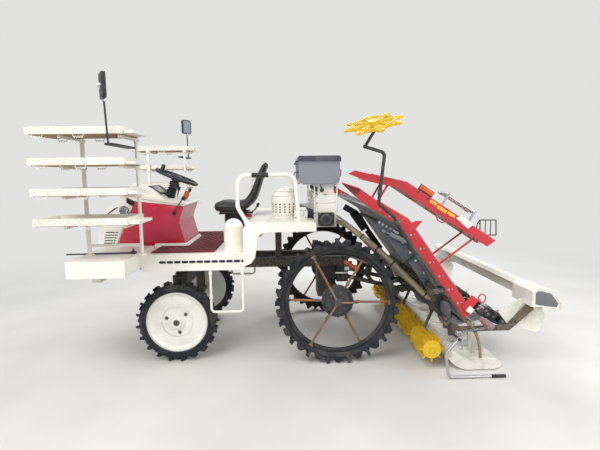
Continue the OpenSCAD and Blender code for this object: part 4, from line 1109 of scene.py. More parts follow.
        def shroud(bm):
            tube(bm, [hub + axis * t for t in (-0.082, -0.078, -0.052, -0.048)], [0.034, 0.042, 0.044, 0.036], 24)
            block(bm, (-1.135, -0.060, 1.318), (-1.095, -0.028, 1.352), Matrix.Rotation(radians(22), 3, "Y"))

        piece("column_shroud", shroud, "plastic", "chassis", bevel=0.002)

        def key(bm):
            tube(bm, [(-1.016, -0.068, 1.224), (-1.014, -0.068, 1.232), (-1.002, -0.066, 1.262),
                      (-0.994, -0.065, 1.288), (-0.992, -0.065, 1.295)],
                 [0.010, 0.017, 0.024, 0.020, 0.009], 20, flat=0.8)

        piece("orange_switch", key, "orange", "chassis")

        def sticks(bm):
            wire(bm, [(-1.022, -0.070, 1.190), (-1.020, -0.069, 1.206), (-1.014, -0.068, 1.226)], 0.006)
            wire(bm, [(-1.052, -0.2960, 1.128), (-1.046, -0.304, 1.144), (-1.008, -0.304, 1.202),
                      (-0.985, -0.303, 1.236)], 0.0050)
            wire(bm, [(-1.070, 0.165, 1.185), (-1.060, 0.168, 1.225), (-1.030, 0.176, 1.280)], 0.006)
            wire(bm, [(-1.150, 0.225, 1.192), (-1.150, 0.226, 1.240), (-1.138, 0.228, 1.292)], 0.006)

        piece("lever_rods", sticks, "dark_grey", "chassis")

        def grips(bm):
            for a, b in (((-0.986, -0.303, 1.232), (-0.964, -0.302, 1.262)),
                         ((-1.032, 0.1755, 1.276), (-1.020, 0.178, 1.312)),
                         ((-1.139, 0.228, 1.288), (-1.131, 0.229, 1.330))):
                tube(bm, [Vector(a).lerp(Vector(b), t) for t in (0, 0.1, 0.45, 0.85, 1)],
                     [0.008, 0.012, 0.014, 0.013, 0.006], 16)
            for x, y in ((-1.022, -0.070), (-1.070, 0.165), (-1.150, 0.225)):
                tube(bm, [(x, y, 1.186 + 0.004 * k) for k in range(7)],
                     [0.024, 0.026, 0.021, 0.022, 0.017, 0.018, 0.010], 18)
            disc(bm, (-1.054, -0.2900, 1.124), (0, -1, 0), 0.016, 0.012, 20)

        piece("lever_grips", grips, "plastic", "chassis")

    def wheel(self):
        """Grip bumps and a blank cap on the steering wheel."""
        turn = Matrix.Rotation(radians(self.steering_lean), 3, "Y")
        grip_radius = 0.1755

        def at(x, y, z):
            return self.steering_hub + turn @ Vector((x, y, z))

        def build(bm):
            tube(bm, [at(0, 0, h) for h in (0.007, 0.0105, 0.014)], [0.036, 0.033, 0.022], 28)
            for k in range(72):
                a = 2 * pi * k / 72
                disc(bm, at(grip_radius * cos(a), grip_radius * sin(a), -0.0125),
                     turn @ Vector((0, 0, -1)), 0.0032, 0.0022, 8)
            tube(bm, [at(-0.110, -0.110, h) for h in (0.060, 0.066, 0.070)], [0.0165, 0.014, 0.006], 18)

        piece("steering_trim", build, "plastic", "steering_wheel_body")

    def side_rod(self):
        """Thin rod that lies on the front step, its holder and catch."""
        def build(bm):
            wire(bm, [(-1.732, -0.690, 0.8735), (-1.500, -0.680, 0.8735), (-1.260, -0.665, 0.8735)], 0.0055, 0.05, 10)

        piece("sighting_rod", build, "plastic", "chassis")

        def holder(bm):
            block(bm, (-1.286, -0.682, 0.8672), (-1.246, -0.646, 0.884))
            disc(bm, (-1.266, -0.664, 0.884), (0, 0, 1), 0.009, 0.020, 14, 0.007)

        piece("rod_holder", holder, "dark_grey", "chassis", bevel=0.003)


class TRANSPLANTER_OT_floor(bpy.types.Operator):
    """Raised bars of the mat, floor strips, plugs and collars of the step irons"""
    bl_idname = "transplanter.floor"
    bl_label = "Floor and Steps"

    mat_ends = (-1.150, -0.706)
    iron_y = 0.630

    def execute(self, context):
        def bars(bm):
            for row in range(22):
                y = -0.565 + row * 0.0538
                shift = 0.030 if row % 2 else 0.0
                for k in range(8):
                    x = self.mat_ends[0] + shift + k * 0.0565
                    # The console stands on the mat's front between these lines.
                    if x + 0.040 <= self.mat_ends[1] and (abs(y) >= 0.305 or x >= -0.945):
                        block(bm, (x, y - 0.004, 0.8598), (x + 0.038, y + 0.004, 0.8632))

        piece("mat_bars", bars, "mat", "chassis", bevel=0.001)

        def hem(bm):
            for y in (-0.574, 0.574):
                wire(bm, [(x, y, 0.860) for x in (-1.160, -0.930, -0.706)], 0.0035, 0.05, 6)
            for x, inner in ((-1.159, 0.300), (-0.706, 0.01)):
                for s in (LEFT, RIGHT):
                    wire(bm, [(x, s * y, 0.860) for y in (inner, 0.44, 0.574)], 0.0035, 0.05, 6)

        piece("mat_hem", hem, "mat", "chassis")

        def plugs(bm):
            for x, y in ((-0.762, -0.300), (-0.762, 0.300), (-0.900, -0.480), (-0.900, 0.480)):
                disc(bm, (x, y, 0.8598), (0, 0, 1), 0.017, 0.0045, 28, 0.014)
                disc(bm, (x, y, 0.8643), (0, 0, 1), 0.006, 0.002, 6)

        piece("floor_plugs", plugs, "plastic", "chassis")
        for side, tag in SIDES:
            self.edge(side, tag)
            self.collars(side, tag)
        return {"FINISHED"}

    def edge(self, side, tag):
        def slot_rims_and_shade(bm):
            for k in range(12):
                x = -1.085 + 0.0545 * k
                outline = arcs(((x + 0.030, 0.792, -90), (x, 0.792, 90)), 0.008, 7)
                tube(bm, at_y(outline, side * 0.6402), 0.0018, 6, closed=True)
                # The black face in each slot is painted shade of the opening; the black tube round it is the slot's
                # rim.
                bm.faces.new([bm.verts.new(p) for p in at_y(outline, side * 0.6406)])

        piece("floor_edge_slot_rims_and_shade_" + tag, slot_rims_and_shade, "plastic", "chassis")

        def lip(bm):
            for z, r in ((0.846, 0.0055), (0.742, 0.0045)):
                wire(bm, [(x, side * 0.637, z) for x in (-1.222, -0.850, -0.472)], r, 0.06, 8)

        piece("floor_edge_lips_" + tag, lip, "cream", "chassis")

    def collars(self, side, tag):
        def build(bm):
            for x in (-0.725, -0.488):
                for z in (0.700, 0.520):
                    collar(bm, (x, side * self.iron_y, z), (0, 0, 1), (0.012, 0.010), (0.010, 0.0135), 16)
            pts = [(-0.690 + 0.0117 * k, side * self.iron_y, 0.405) for k in range(15)]
            tube(bm, pts, [0.0118 if k % 2 else 0.0104 for k in range(15)], 14)

        piece("step_collars_" + tag, build, "white", "chassis")


class TRANSPLANTER_OT_seat(bpy.types.Operator):
    """Padded seat: a cushion that is blown up as cloth, its piping, slides and lever"""
    bl_idname = "transplanter.seat"
    bl_label = "Seat"

    # Middle line of the pad in the side view, half thickness, half width
    stations = ((-0.757, 1.166, 0.022, 0.150), (-0.742, 1.166, 0.038, 0.186), (-0.710, 1.162, 0.043, 0.204),
                (-0.650, 1.160, 0.043, 0.213), (-0.580, 1.157, 0.040, 0.216), (-0.530, 1.162, 0.038, 0.217),
                (-0.488, 1.180, 0.036, 0.217), (-0.455, 1.212, 0.033, 0.217), (-0.430, 1.252, 0.028, 0.217),
                (-0.408, 1.300, 0.023, 0.215), (-0.388, 1.356, 0.021, 0.208), (-0.368, 1.412, 0.019, 0.199),
                (-0.346, 1.466, 0.018, 0.182), (-0.328, 1.506, 0.017, 0.156), (-0.319, 1.528, 0.009, 0.130))

    def execute(self, context):
        pts = [Vector((s[0], s[1])) for s in self.stations]

        def build(bm):
            rings = []
            sides = 36
            for i, (x, z, h, w) in enumerate(self.stations):
                way = (pts[min(i + 1, len(pts) - 1)] - pts[max(i - 1, 0)]).normalized()
                up = Vector((-way[1], way[0]))
                row = []
                for k in range(sides):
                    a = 2 * pi * k / sides
                    c, s = cos(a), sin(a)
                    y = w * copysign(abs(c) ** 0.45, c)
                    t = h * copysign(abs(s) ** 0.55, s)
                    bolster = 0.007 * exp(-((abs(y) / w - 0.80) / 0.14) ** 2) * (1 if s > 0 else 0)
                    p = Vector((x, z)) + up * (t * 0.94 + bolster - 0.002)
                    row.append(bm.verts.new((p[0], y * 0.975, p[1])))
                rings.append(row)
            for a, b in zip(rings, rings[1:]):
                for k in range(sides):
                    bm.faces.new((a[k], a[(k + 1) % sides], b[(k + 1) % sides], b[k]))
            bm.faces.new(list(reversed(rings[0])))
            bm.faces.new(rings[-1])

        pad = piece("seat_pad", build, "vinyl", None, smooth=False)
        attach(pad, "chassis")
        self.blow(context, pad)
        pad.data.shade_smooth()
        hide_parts("seat")

        def piping(bm):
            for s in (LEFT, RIGHT):
                wire(bm, [(x, s * (w - 0.001), z + 0.002) for x, z, h, w in self.stations[1:-1]], 0.0042, 0.02, 8)

        piece("seat_piping", piping, "plastic", "chassis")

        def seams(bm):
            for i in (4, 7, 10):
                h, w = self.stations[i][2:]
                way = (pts[i + 1] - pts[i - 1]).normalized()
                p = pts[i] + Vector((-way[1], way[0])) * (h * 0.97 + 0.001)
                wire(bm, [(p[0], w * 0.68 * t, p[1] + 0.0005) for t in (-1, -0.5, 0, 0.5, 1)], 0.0028, 0.03, 6)

        piece("seat_seams", seams, "plastic", "chassis")

        def under(bm):
            for y in (-0.1575, 0.1575):
                block(bm, (-0.700, y - 0.0075, 1.106), (-0.520, y + 0.0075, 1.121))
            for y in (-0.100, 0.100):
                block(bm, (-0.522, y - 0.012, 1.078), (-0.452, y + 0.012, 1.090))
            for k in range(9):
                ring(bm, (-0.600, 0, 0.882 + 0.022 * k), 0.0905, 0.006, "Z", 36, 8)

        piece("seat_slides", under, "dark_grey", "chassis", bevel=0.002)

        def lever(bm):
            wire(bm, [(-0.500, -0.170, 1.106), (-0.440, -0.196, 1.118), (-0.405, -0.204, 1.146),
                      (-0.388, -0.206, 1.176)], 0.0055)
            tube(bm, [(-0.393, -0.2055, 1.160), (-0.390, -0.206, 1.166), (-0.384, -0.206, 1.186),
                      (-0.381, -0.206, 1.194)], [0.007, 0.011, 0.012, 0.005], 16)

        piece("seat_lever", lever, "plastic", "chassis")

        def latch(bm):
            block(bm, (-0.522, -0.118, 1.066), (-0.448, -0.092, 1.091))

        piece("seat_catch", latch, "red", "chassis", bevel=0.004)
        return {"FINISHED"}

    @staticmethod
    def blow(context, pad):
        """Voxel mesh and a short cloth run under inside pressure, then one subdivision."""
        last_frame, furthest = 20, 0.006
        view = context.view_layer
        view.objects.active = pad
        mesher = pad.modifiers.new("even", "REMESH")
        mesher.mode = "VOXEL"
        mesher.voxel_size = 0.0055
        bpy.ops.object.select_all(action="DESELECT")
        pad.select_set(True)
        bpy.ops.object.modifier_apply(modifier="even")
        cloth = pad.modifiers.new("cloth", "CLOTH")
        cfg = cloth.settings
        cfg.use_pressure = True
        cfg.uniform_pressure_force = 4.0
        cfg.mass = 0.3
        cfg.tension_stiffness = cfg.compression_stiffness = 60.0
        cfg.shear_stiffness = 30.0
        cfg.bending_stiffness = 5.0
        cfg.effector_weights.gravity = 0.0
        cfg.quality = 4
        cloth.point_cache.frame_start = 1
        cloth.point_cache.frame_end = last_frame
        before = [v.co.copy() for v in pad.data.vertices]
        for frame_no in range(1, last_frame + 1):
            context.scene.frame_set(frame_no)
        view.update()
        bpy.ops.object.modifier_apply(modifier="cloth")
        for v, old in zip(pad.data.vertices, before):
            step = v.co - old
            if step.length > furthest:
                v.co = old + step.normalized() * furthest
        context.scene.frame_set(1)
        sub = pad.modifiers.new("fine", "SUBSURF")
        sub.levels = sub.render_levels = 1


class TRANSPLANTER_OT_spreader(bpy.types.Operator):
    """Seams, straps, levers, plates and pipes of the granule spreader; feet and grips of the handrails"""
    bl_idname = "transplanter.spreader"
    bl_label = "Granule Spreader"

    blower_at = (-0.165, -0.330)
    handrail_y = 0.660

    def execute(self, context):
        self.hopper()
        self.lid()
        self.meters()
        self.duct()
        self.blower()
        self.rails()
        return {"FINISHED"}

    def hopper(self):
        def seams(bm):
            for y in (-0.346, -0.173, 0.0, 0.173, 0.346):
                for x in (-0.0522, 0.2582):
                    wire(bm, [(x, y, 1.515), (x, y, 1.450), (x * 0.995, y, 1.385)], 0.003, 0.03, 6)
            for y in (-0.5205, 0.5205):
                wire(bm, [(x, y, 1.500) for x in (-0.050, 0.100, 0.256)], 0.003, 0.04, 6)
                wire(bm, at_y(((-0.044, 1.392), (-0.010, 1.358), (0.100, 1.352), (0.214, 1.358), (0.250, 1.392)), y),
                     0.003, 0.03, 6)
            frame_bars(bm, [(-0.054, -0.522, 1.5165), (0.260, -0.522, 1.5165), (0.260, 0.522, 1.5165),
                            (-0.054, 0.522, 1.5165)], 0.0035)

        piece("hopper_seams", seams, "smoke", "chassis")

        def handle(bm):
            front = ((-0.054, 1.440), (-0.086, 1.436), (-0.094, 1.400), (-0.086, 1.360), (-0.048, 1.352))
            wire(bm, at_y(front, -0.455), 0.0042)
            rear = ((0.2585, 1.470), (0.285, 1.466), (0.292, 1.440), (0.288, 1.405), (0.257, 1.398))
            for y in (-0.300, 0.300):
                wire(bm, at_y(rear, y), 0.0045)

        piece("hopper_handles", handle, "plastic", "chassis")

        def straps(bm):
            for y in (-0.400, -0.080, 0.080, 0.400):
                block(bm, (0.2585, y - 0.012, 1.352), (0.2625, y + 0.012, 1.470))
                block(bm, (0.206, y - 0.012, 1.3385), (0.2625, y + 0.012, 1.3425))
                for z in (1.452, 1.372):
                    bolt(bm, (0.2625, y, z), (1, 0, 0), 0.006, 0.005)

        piece("hopper_straps", straps, "bright", "chassis")

    def lid(self):
        def build(bm):
            for y in (-0.36, 0.0, 0.36):
                wire(bm, [(-0.050, y, 1.558), (0.100, y, 1.5605), (0.256, y, 1.558)], 0.0045, 0.04, 8)
            for y in (-0.300, 0.300):
                block(bm, (0.2655, y - 0.022, 1.518), (0.2715, y + 0.022, 1.548))
                block(bm, (0.2715, y - 0.014, 1.526), (0.2755, y + 0.014, 1.534))
            frame_bars(bm, [(-0.052, -0.521, 1.5575), (0.258, -0.521, 1.5575), (0.258, 0.521, 1.5575),
                            (-0.052, 0.521, 1.5575)], 0.0025, 6)

        piece("lid_ribs", build, "lid", "hopper_lid_body", bevel=0.001)

    def meters(self):
        def plates(bm):
            for side in (LEFT, RIGHT):
                a, b = across(side, 0.4522, 0.4565)
                plate(bm, [(0.074, 1.197), (0.078, 1.266), (0.226, 1.262), (0.233, 1.200)], a, b)
                plate(bm, [(0.064, 1.123), (0.064, 1.190), (0.092, 1.190), (0.092, 1.123)], a, b)
                for x, z in ((0.085, 1.254), (0.215, 1.251), (0.085, 1.209), (0.220, 1.211), (0.150, 1.231),
                             (0.078, 1.180), (0.078, 1.134), (0.222, 1.030), (0.080, 1.030), (0.222, 1.118)):
                    bolt(bm, (x, side * (0.4565 if z > 1.12 else 0.452), z), (0, side, 0), 0.0058, 0.0045)
                for x in (0.066, 0.239):
                    tube(bm, [(x, side * 0.462, 1.124), (x, side * 0.462, 1.334)], 0.0065, 14)

        piece("meter_plates", plates, "white", "chassis", bevel=0.0012)

        def levers(bm):
            for i in range(6):
                y = (i - 2.5) * 0.160
                disc(bm, (0.216, y, 1.304), (1, 0, 0), 0.022, 0.008, 24, 0.020)
                block(bm, (0.224, y - 0.005, 1.298), (0.232, y + 0.005, 1.338))
                disc(bm, (0.092, y, 1.304), (-1, 0, 0), 0.018, 0.008, 20)
                ring(bm, (0.150, y, 1.131), 0.0375, 0.0045, "Z", 32, 8)
                ring(bm, (0.150, y, 1.262), 0.0535, 0.004, "Z", 32, 8)
            for side in (LEFT, RIGHT):
                wire(bm, [(0.118, side * 0.500, 1.300), (0.112, side * 0.506, 1.330), (0.100, side * 0.508, 1.368)],
                     0.0045)
                knob = ((0.102, 1.360), (0.100, 1.366), (0.094, 1.386), (0.092, 1.392))
                tube(bm, at_y(knob, side * 0.508), [0.006, 0.010, 0.011, 0.004], 14)
                disc(bm, (0.120, side * 0.498, 1.300), (0, side, 0), 0.016, 0.010, 20)

        piece("meter_levers", levers, "plastic", "chassis")

        def links(bm):
            wire(bm, [(0.120, -0.486, 1.292), (0.060, -0.488, 1.240), (0.010, -0.490, 1.176), (-0.020, -0.492, 1.150)],
                 0.003, 0.04, 6)
            ring(bm, (-0.043, -0.5295, 1.128), 0.024, 0.003, "Y", 28, 6)
            for x, z in ((-0.080, 1.096), (-0.006, 1.096), (-0.080, 1.158), (-0.008, 1.150)):
                bolt(bm, (x, -0.5280, z), (0, -1, 0), 0.005, 0.004)

        piece("meter_links", links, "bright", "chassis")

    def duct(self):
        def build(bm):
            # The duct's plug stands out on the left and lies flat on the right.
            for side, out, step in ((LEFT, 0.519, 0.004), (RIGHT, 0.5165, 0.0015)):
                for k in range(3):
                    ring(bm, (0.150, side * (out + step * k), 1.075), 0.0395 - 0.004 * k, 0.0035, "Y", 36, 8)
                for x, z in ((0.098, 1.033), (0.204, 1.033), (0.098, 1.119), (0.204, 1.119)):
                    bolt(bm, (x, side * 0.516, z), (0, side, 0), 0.0045, 0.004)

        piece("duct_rings", build, "grey", "chassis")

    def blower(self):
        x, y = self.blower_at

        def build(bm):
            for r, z in ((0.1075, 1.110), (0.1072, 1.200), (0.102, 1.258), (0.083, 1.292)):
                ring(bm, (x, y, z), r, 0.0028, "Z", 48, 6)
            bolt_ring(bm, (x, y, 1.0882), 0.115, 6, 20, 0.005)
            disc(bm, (x, y, 1.3238), (0, 0, 1), 0.026, 0.006, 28, 0.018)

        piece("blower_rings", build, "cream", "chassis")

        def pipe(bm):
            line = smooth_route([(x, y, 1.150), (-0.090, -0.345, 1.150), (-0.020, -0.360, 1.135),
                                 (0.045, -0.372, 1.104), (0.100, -0.380, 1.080)], 0.007)
            tube(bm, line, [0.0400 if k % 2 else 0.0365 for k in range(len(line))], 28)

        piece("blower_pipe", pipe, "dark_grey", "chassis")

        def grid(bm):
            for k in range(7):
                a = radians(-150 + 20 * k)
                c, s = cos(a), sin(a)
                for z in (1.130, 1.150, 1.170, 1.190):
                    disc(bm, (x + 0.1055 * c, y + 0.1055 * s, z), (c, s, 0), 0.006, 0.0032, 12)

        piece("blower_grid", grid, "dark_grey", "chassis")

    def rails(self):
        def build(bm):
            foot = ((-0.4350, 1.0655), (-0.440, 1.0735), (-0.449, 1.0895), (-0.451, 1.0935))
            for y in (-self.handrail_y, self.handrail_y):
                bolt_ring(bm, (-0.062, y, 1.0863), 0.023, 4, 45, 0.0045)
                tube(bm, at_y(foot, y), [0.024, 0.022, 0.018, 0.0156], 20)

        piece("handrail_feet", build, "white", "chassis")

        def pads(bm):
            for y in (-self.handrail_y, self.handrail_y):
                tube(bm, [(-0.400 + 0.010 * k, y, 1.420) for k in range(13)],
                     [0.0185 if k % 2 else 0.0168 for k in range(13)], 18)

        piece("handrail_grips", pads, "plastic", "chassis")


class TRANSPLANTER_OT_hoses(bpy.types.Operator):
    """Ribbed granule hoses and their clips"""
    bl_idname = "transplanter.hoses"
    bl_label = "Granule Hoses"

    # Along the machine, share of the rows' pitch, height
    route = ((0.192, 0.50, 1.046), (0.240, 0.50, 1.046), (0.330, 0.52, 1.010), (0.430, 0.60, 0.935),
             (0.560, 0.70, 0.830), (0.690, 0.84, 0.700), (0.800, 0.92, 0.590), (0.880, 0.98, 0.510),
             (0.930, 1.00, 0.490))
    pitch = 0.276
    bend = ((0.300, 0.0, 1.000), (0.930, 0.0, 0.490))

    def line(self, row, step):
        return smooth_route([(x, row * self.pitch * share, z) for x, share, z in self.route], step)

    def execute(self, context):
        sizes = context.scene.transplanter_sizes
        pitch, r = sizes.hose_rib_pitch, sizes.hose_diameter / 2

        def ribs(bm):
            for row in HOSE_ROWS:
                pts = self.line(row, pitch / 2)
                tube(bm, pts, [r + 0.001 if k % 2 else r - 0.0018 for k in range(len(pts))], 14)

        tubes = piece("granule_hoses", ribs, "hose", None, smooth=False)
        tubes.data.shade_smooth()
        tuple(self.bend[0])
        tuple(self.bend[1])
        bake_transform(tubes)
        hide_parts("hoses")

        def clips(bm):
            for row in HOSE_ROWS:
                pts = self.line(row, 0.010)
                for share in (0.05, 0.30, 0.45, 0.62, 0.95):
                    i = int(share * (len(pts) - 2))
                    collar(bm, pts[i], (pts[i + 1] - pts[i]).normalized(), (0.006, 0.005), (r + 0.0005, r + 0.003), 18)

        ties = piece("hose_clips", clips, "plastic", None)
        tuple(self.bend[0])
        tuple(self.bend[1])
        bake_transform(ties)
        return {"FINISHED"}


class TRANSPLANTER_OT_stage_trim(bpy.types.Operator):
    """Belts, presser rods, reflectors, blank plates and brackets of the seedling stage"""
    bl_idname = "transplanter.stage_trim"
    bl_label = "Seedling Stage"

    # Faces of the rails, from the middle plane
    rail_face = 0.866
    side_face = -0.6398
    side_edge = -0.634

    def execute(self, context):
        self.belts()
        self.near_rails()
        self.side_section()
        self.below_rail()
        return {"FINISHED"}

    def belts(self):
        def build(bm):
            for y in (lane + dy for lane in LANE_Y for dy in (-0.068, 0.068)):
                plate(bm, NEAR_RAIL.strip(0.330, 0.760, -0.0605, -0.056), y - 0.034, y + 0.034)
                for a in (0.336 + 0.0192 * k for k in range(22)):
                    plate(bm, NEAR_RAIL.strip(a, a + 0.006, -0.0562, -0.0525), y - 0.032, y + 0.032)

        piece("feed_belts", build, "belt", "stage_body", smooth=False)

        def ribs(bm):
            for y in (lane + dy for lane in LANE_Y for dy in (-0.115, -0.018, 0.018, 0.115)):
                for run, a, b in ((NEAR_RAIL, 0.012, 0.800), (NEAR_RAIL_TOP, 0.006, 0.244)):
                    plate(bm, run.strip(a, b, -0.0605, -0.0555), y - 0.0025, y + 0.0025)

        piece("lane_ribs", ribs, "seedbed", "stage_body", smooth=False)

        def holders(bm):
            ends = (0.420, -0.002), (0.760, -0.008)
            line = NEAR_RAIL.line(ends[0], (0.440, -0.018), (0.600, -0.020), (0.742, -0.022), ends[1])
            for y in (lane + dy for lane in LANE_Y for dy in (-0.095, 0.0, 0.095)):
                wire(bm, at_y(line, y), 0.0032, 0.03, 6)
            for end in ends:
                bar(bm, NEAR_RAIL.point(*end, -0.852), NEAR_RAIL.point(*end, 0.852), 0.005, 10)

        piece("seedling_holders", holders, "bright", "stage_body")

    def near_rails(self):
        for side, tag in SIDES:
            def marks(bm):
                plate(bm, NEAR_RAIL.line((0.030, -0.012), (0.039, 0.035), (0.067, 0.074), (0.090, -0.008)),
                      *across(side, 0.8655, 0.8575))
                plate(bm, NEAR_RAIL.line((0.735, -0.040), (0.7088, 0.065), (0.768, 0.0857), (0.800, -0.010),
                                         (0.800, -0.040)), *across(side, 0.8735, 0.8655))
                c = NEAR_RAIL.at(0.772, 0.084)
                ring(bm, (c[0] + 0.022, side * 0.869, c[1] + 0.014), 0.026, 0.005, "Y", 28, 10, 1.2)

            piece("rail_brackets_" + tag, marks, "rail_red", "stage_body", bevel=0.001)

            def edge(bm):
                for run, end in ((NEAR_RAIL_TOP, 0.2557), (NEAR_RAIL, 0.8150)):
                    bar(bm, run.point(0.0, -0.001, side * 0.8600), run.point(end, -0.001, side * 0.8600), 0.0066, 10)

            piece("rail_edges_" + tag, edge, "rail_red", "stage_body")

            def tip(bm):
                # The dark red tip plate is painted shade on the underside of the rail's tip.
                plate(bm, [(0.2245, 1.3545), (0.2265, 1.3635), (0.345, 1.3235), (0.345, 1.300), (0.310, 1.272)],
                      *across(side, 0.8672, 0.8655))

            piece("rail_tip_shade_" + tag, tip, "dark_red", "stage_body")

            def bolts(bm):
                y, out = side * self.rail_face, (0, side, 0)
                for run, spots in ((NEAR_RAIL_TOP, (0.05, 0.13, 0.21)),
                                   (NEAR_RAIL, (0.10, 0.22, 0.34, 0.46, 0.58, 0.70))):
                    for a in spots:
                        bolt(bm, run.point(a, -0.048, y), out, 0.0052, 0.004)
                        disc(bm, run.point(a + 0.012, -0.024, y), out, 0.0042, 0.0015, 12)

            piece("rail_bolts_" + tag, bolts, "bright", "stage_body")

        def square(bm):
            plate(bm, [(1.100, 0.448), (1.127, 0.484), (1.164, 0.454), (1.137, 0.425)], -0.8755, -0.8738)

        piece("rail_blank_plate", square, "white", "stage_body", smooth=False)

    def side_section(self):
        def reflector(bm):
            plate(bm, SIDE_RAIL.strip(0.100, 0.216, 0.014, 0.048), -0.6480, -0.6400)

        piece("stage_reflector", reflector, "reflector", "stage_body", bevel=0.003)

        def holder(bm):
            plate(bm, SIDE_RAIL.strip(0.096, 0.220, -0.020, 0.052), self.side_face, -0.6372)
            for a in (0.112, 0.204):
                bolt(bm, SIDE_RAIL.point(a, -0.012, -0.6400), (0, -1, 0), 0.005, 0.004)

        piece("reflector_holder", holder, "dark_grey", "stage_body")

        def band(bm):
            plate(bm, SIDE_RAIL.line((0.458, -0.019), (0.486, 0.020), (0.600, 0.010), (0.582, -0.038)),
                  -0.6455, self.side_face)

        piece("white_guard_band", band, "white", "stage_body", bevel=0.002)

        def blanks(bm):
            for corners in ((0.223, 0.283, -0.026, -0.004), (0.292, 0.376, -0.033, -0.009),
                            (0.383, 0.450, -0.027, -0.005)):
                plate(bm, SIDE_RAIL.strip(*corners), -0.6410, self.side_face)

        piece("blank_yellow_plates", blanks, "label_yellow", "stage_body", smooth=False)

        def loop(bm):
            line = SIDE_RAIL.line((0.333, -0.060), (0.336, -0.090), (0.352, -0.104), (0.392, -0.104),
                                  (0.406, -0.090), (0.409, -0.060))
            wire(bm, at_y(line, self.side_edge), 0.0048)

        piece("stage_loop_handle", loop, "rail_red", "stage_body")

        def guard(bm):
            y = -0.600
            frame_bars(bm, at_y([(1.307, 1.061), (1.430, 1.059), (1.435, 0.944), (1.311, 0.946)], y), 0.0045)
            for x in (1.34959, 1.39018):
                tube(bm, [(x, y, 0.945), (x, y, 1.060)], 0.0035, 8)
            for x, z, foot in ((1.311, 0.946, 0.891), (1.307, 1.061, 0.93)):
                tube(bm, [(x, y, z), (x - 0.02, y + 0.002, z - 0.03), (x - 0.03, y + 0.002, foot)], 0.004, 8)

        piece("wire_guard", guard, "plastic", "stage_body")

        def edge(bm):
            for run, end in ((SIDE_RAIL_TOP, 0.2694), (SIDE_RAIL, 0.8110)):
                bar(bm, run.point(0.0, 0.0, self.side_edge), run.point(end, 0.0, self.side_edge), 0.0065, 10)

        piece("side_rail_edge", edge, "rail_red", "stage_body")

        def bed(bm):
            for k in range(7):
                y = -0.600 + 0.036 * k
                plate(bm, SIDE_RAIL.strip(0.010, 0.800, -0.0455, -0.040), y - 0.003, y + 0.003)
            for a in (0.12, 0.30, 0.48, 0.66):
                plate(bm, SIDE_RAIL.strip(a, a + 0.008, -0.0455, -0.038), -0.626, -0.350)

        piece("side_section_ribs", bed, "seedbed", "stage_body", smooth=False)

        def under(bm):
            for a, b in ((0.045, 0.135), (0.235, 0.325), (0.430, 0.520), (0.620, 0.710)):
                plate(bm, SIDE_RAIL.strip(a, b, -0.086, -0.0725), -0.6385, -0.6290)
            for k in range(5):
                bolt(bm, SIDE_RAIL.point(0.080 + 0.150 * k, -0.080, -0.6385), (0, -1, 0), 0.007, 0.006)

        piece("side_rail_fittings", under, "bronze", "stage_body", bevel=0.0015)

        rod_height, rod_y = 0.097, (-0.590, -0.535, -0.480)

        def caps(bm):
            for a in (0.295, 0.575):
                for y in rod_y:
                    tube(bm, [SIDE_RAIL.point(a + d, rod_height, y) for d in (-0.004, 0.004)], 0.0095, 14)
            for a in (0.317, 0.557):
                for y in rod_y:
                    collar(bm, SIDE_RAIL.point(a, rod_height, y), (0, 1, 0), (0.011, 0.010), (0.0095, 0.0125), 14)

        piece("press_rod_collars", caps, "bright", "stage_body")

    def below_rail(self):
        """Covers and fittings of the planting section that stand below the stage's travel."""
        for side, tag in SIDES:
            y, out = side * 0.830, (0, side, 0)

            def covers(bm):
                for run, a, b, low in ((NEAR_RAIL_TOP, 0.090, 0.262, -0.168), (NEAR_RAIL, 0.010, 0.240, -0.190),
                                       (NEAR_RAIL, 0.260, 0.520, -0.165)):
                    plate(bm, run.strip(a, b, low, -0.100), *across(side, 0.8300, 0.8220))

            piece("section_covers_" + tag, covers, "cover_blue", "planting_body", bevel=0.003)

            def bolts(bm):
                for k in range(6):
                    bolt(bm, NEAR_RAIL_TOP.point(0.100 + 0.030 * k, -0.118, y), out, 0.006, 0.005)
                for a in (0.03, 0.12, 0.21, 0.28, 0.39, 0.50):
                    bolt(bm, NEAR_RAIL.point(a, -0.116, y), out, 0.006, 0.005)

            piece("section_bolts_" + tag, bolts, "bright", "planting_body")

            def damper(bm):
                a, b = Vector((0.560, side * 0.846, 1.002)), Vector((0.672, side * 0.846, 0.947))
                way = (b - a).normalized()
                tube(bm, [a, a + way * 0.004, b - way * 0.004, b], [0.012, 0.0175, 0.0175, 0.012], 20)
                tube(bm, [a - way * 0.050, a], 0.006, 12)
                for p in (a - way * 0.050, b):
                    tube(bm, [p - Vector(out) * 0.019, p + Vector(out) * 0.012], 0.011, 14)

            piece("section_damper_" + tag, damper, "grey", "planting_body")


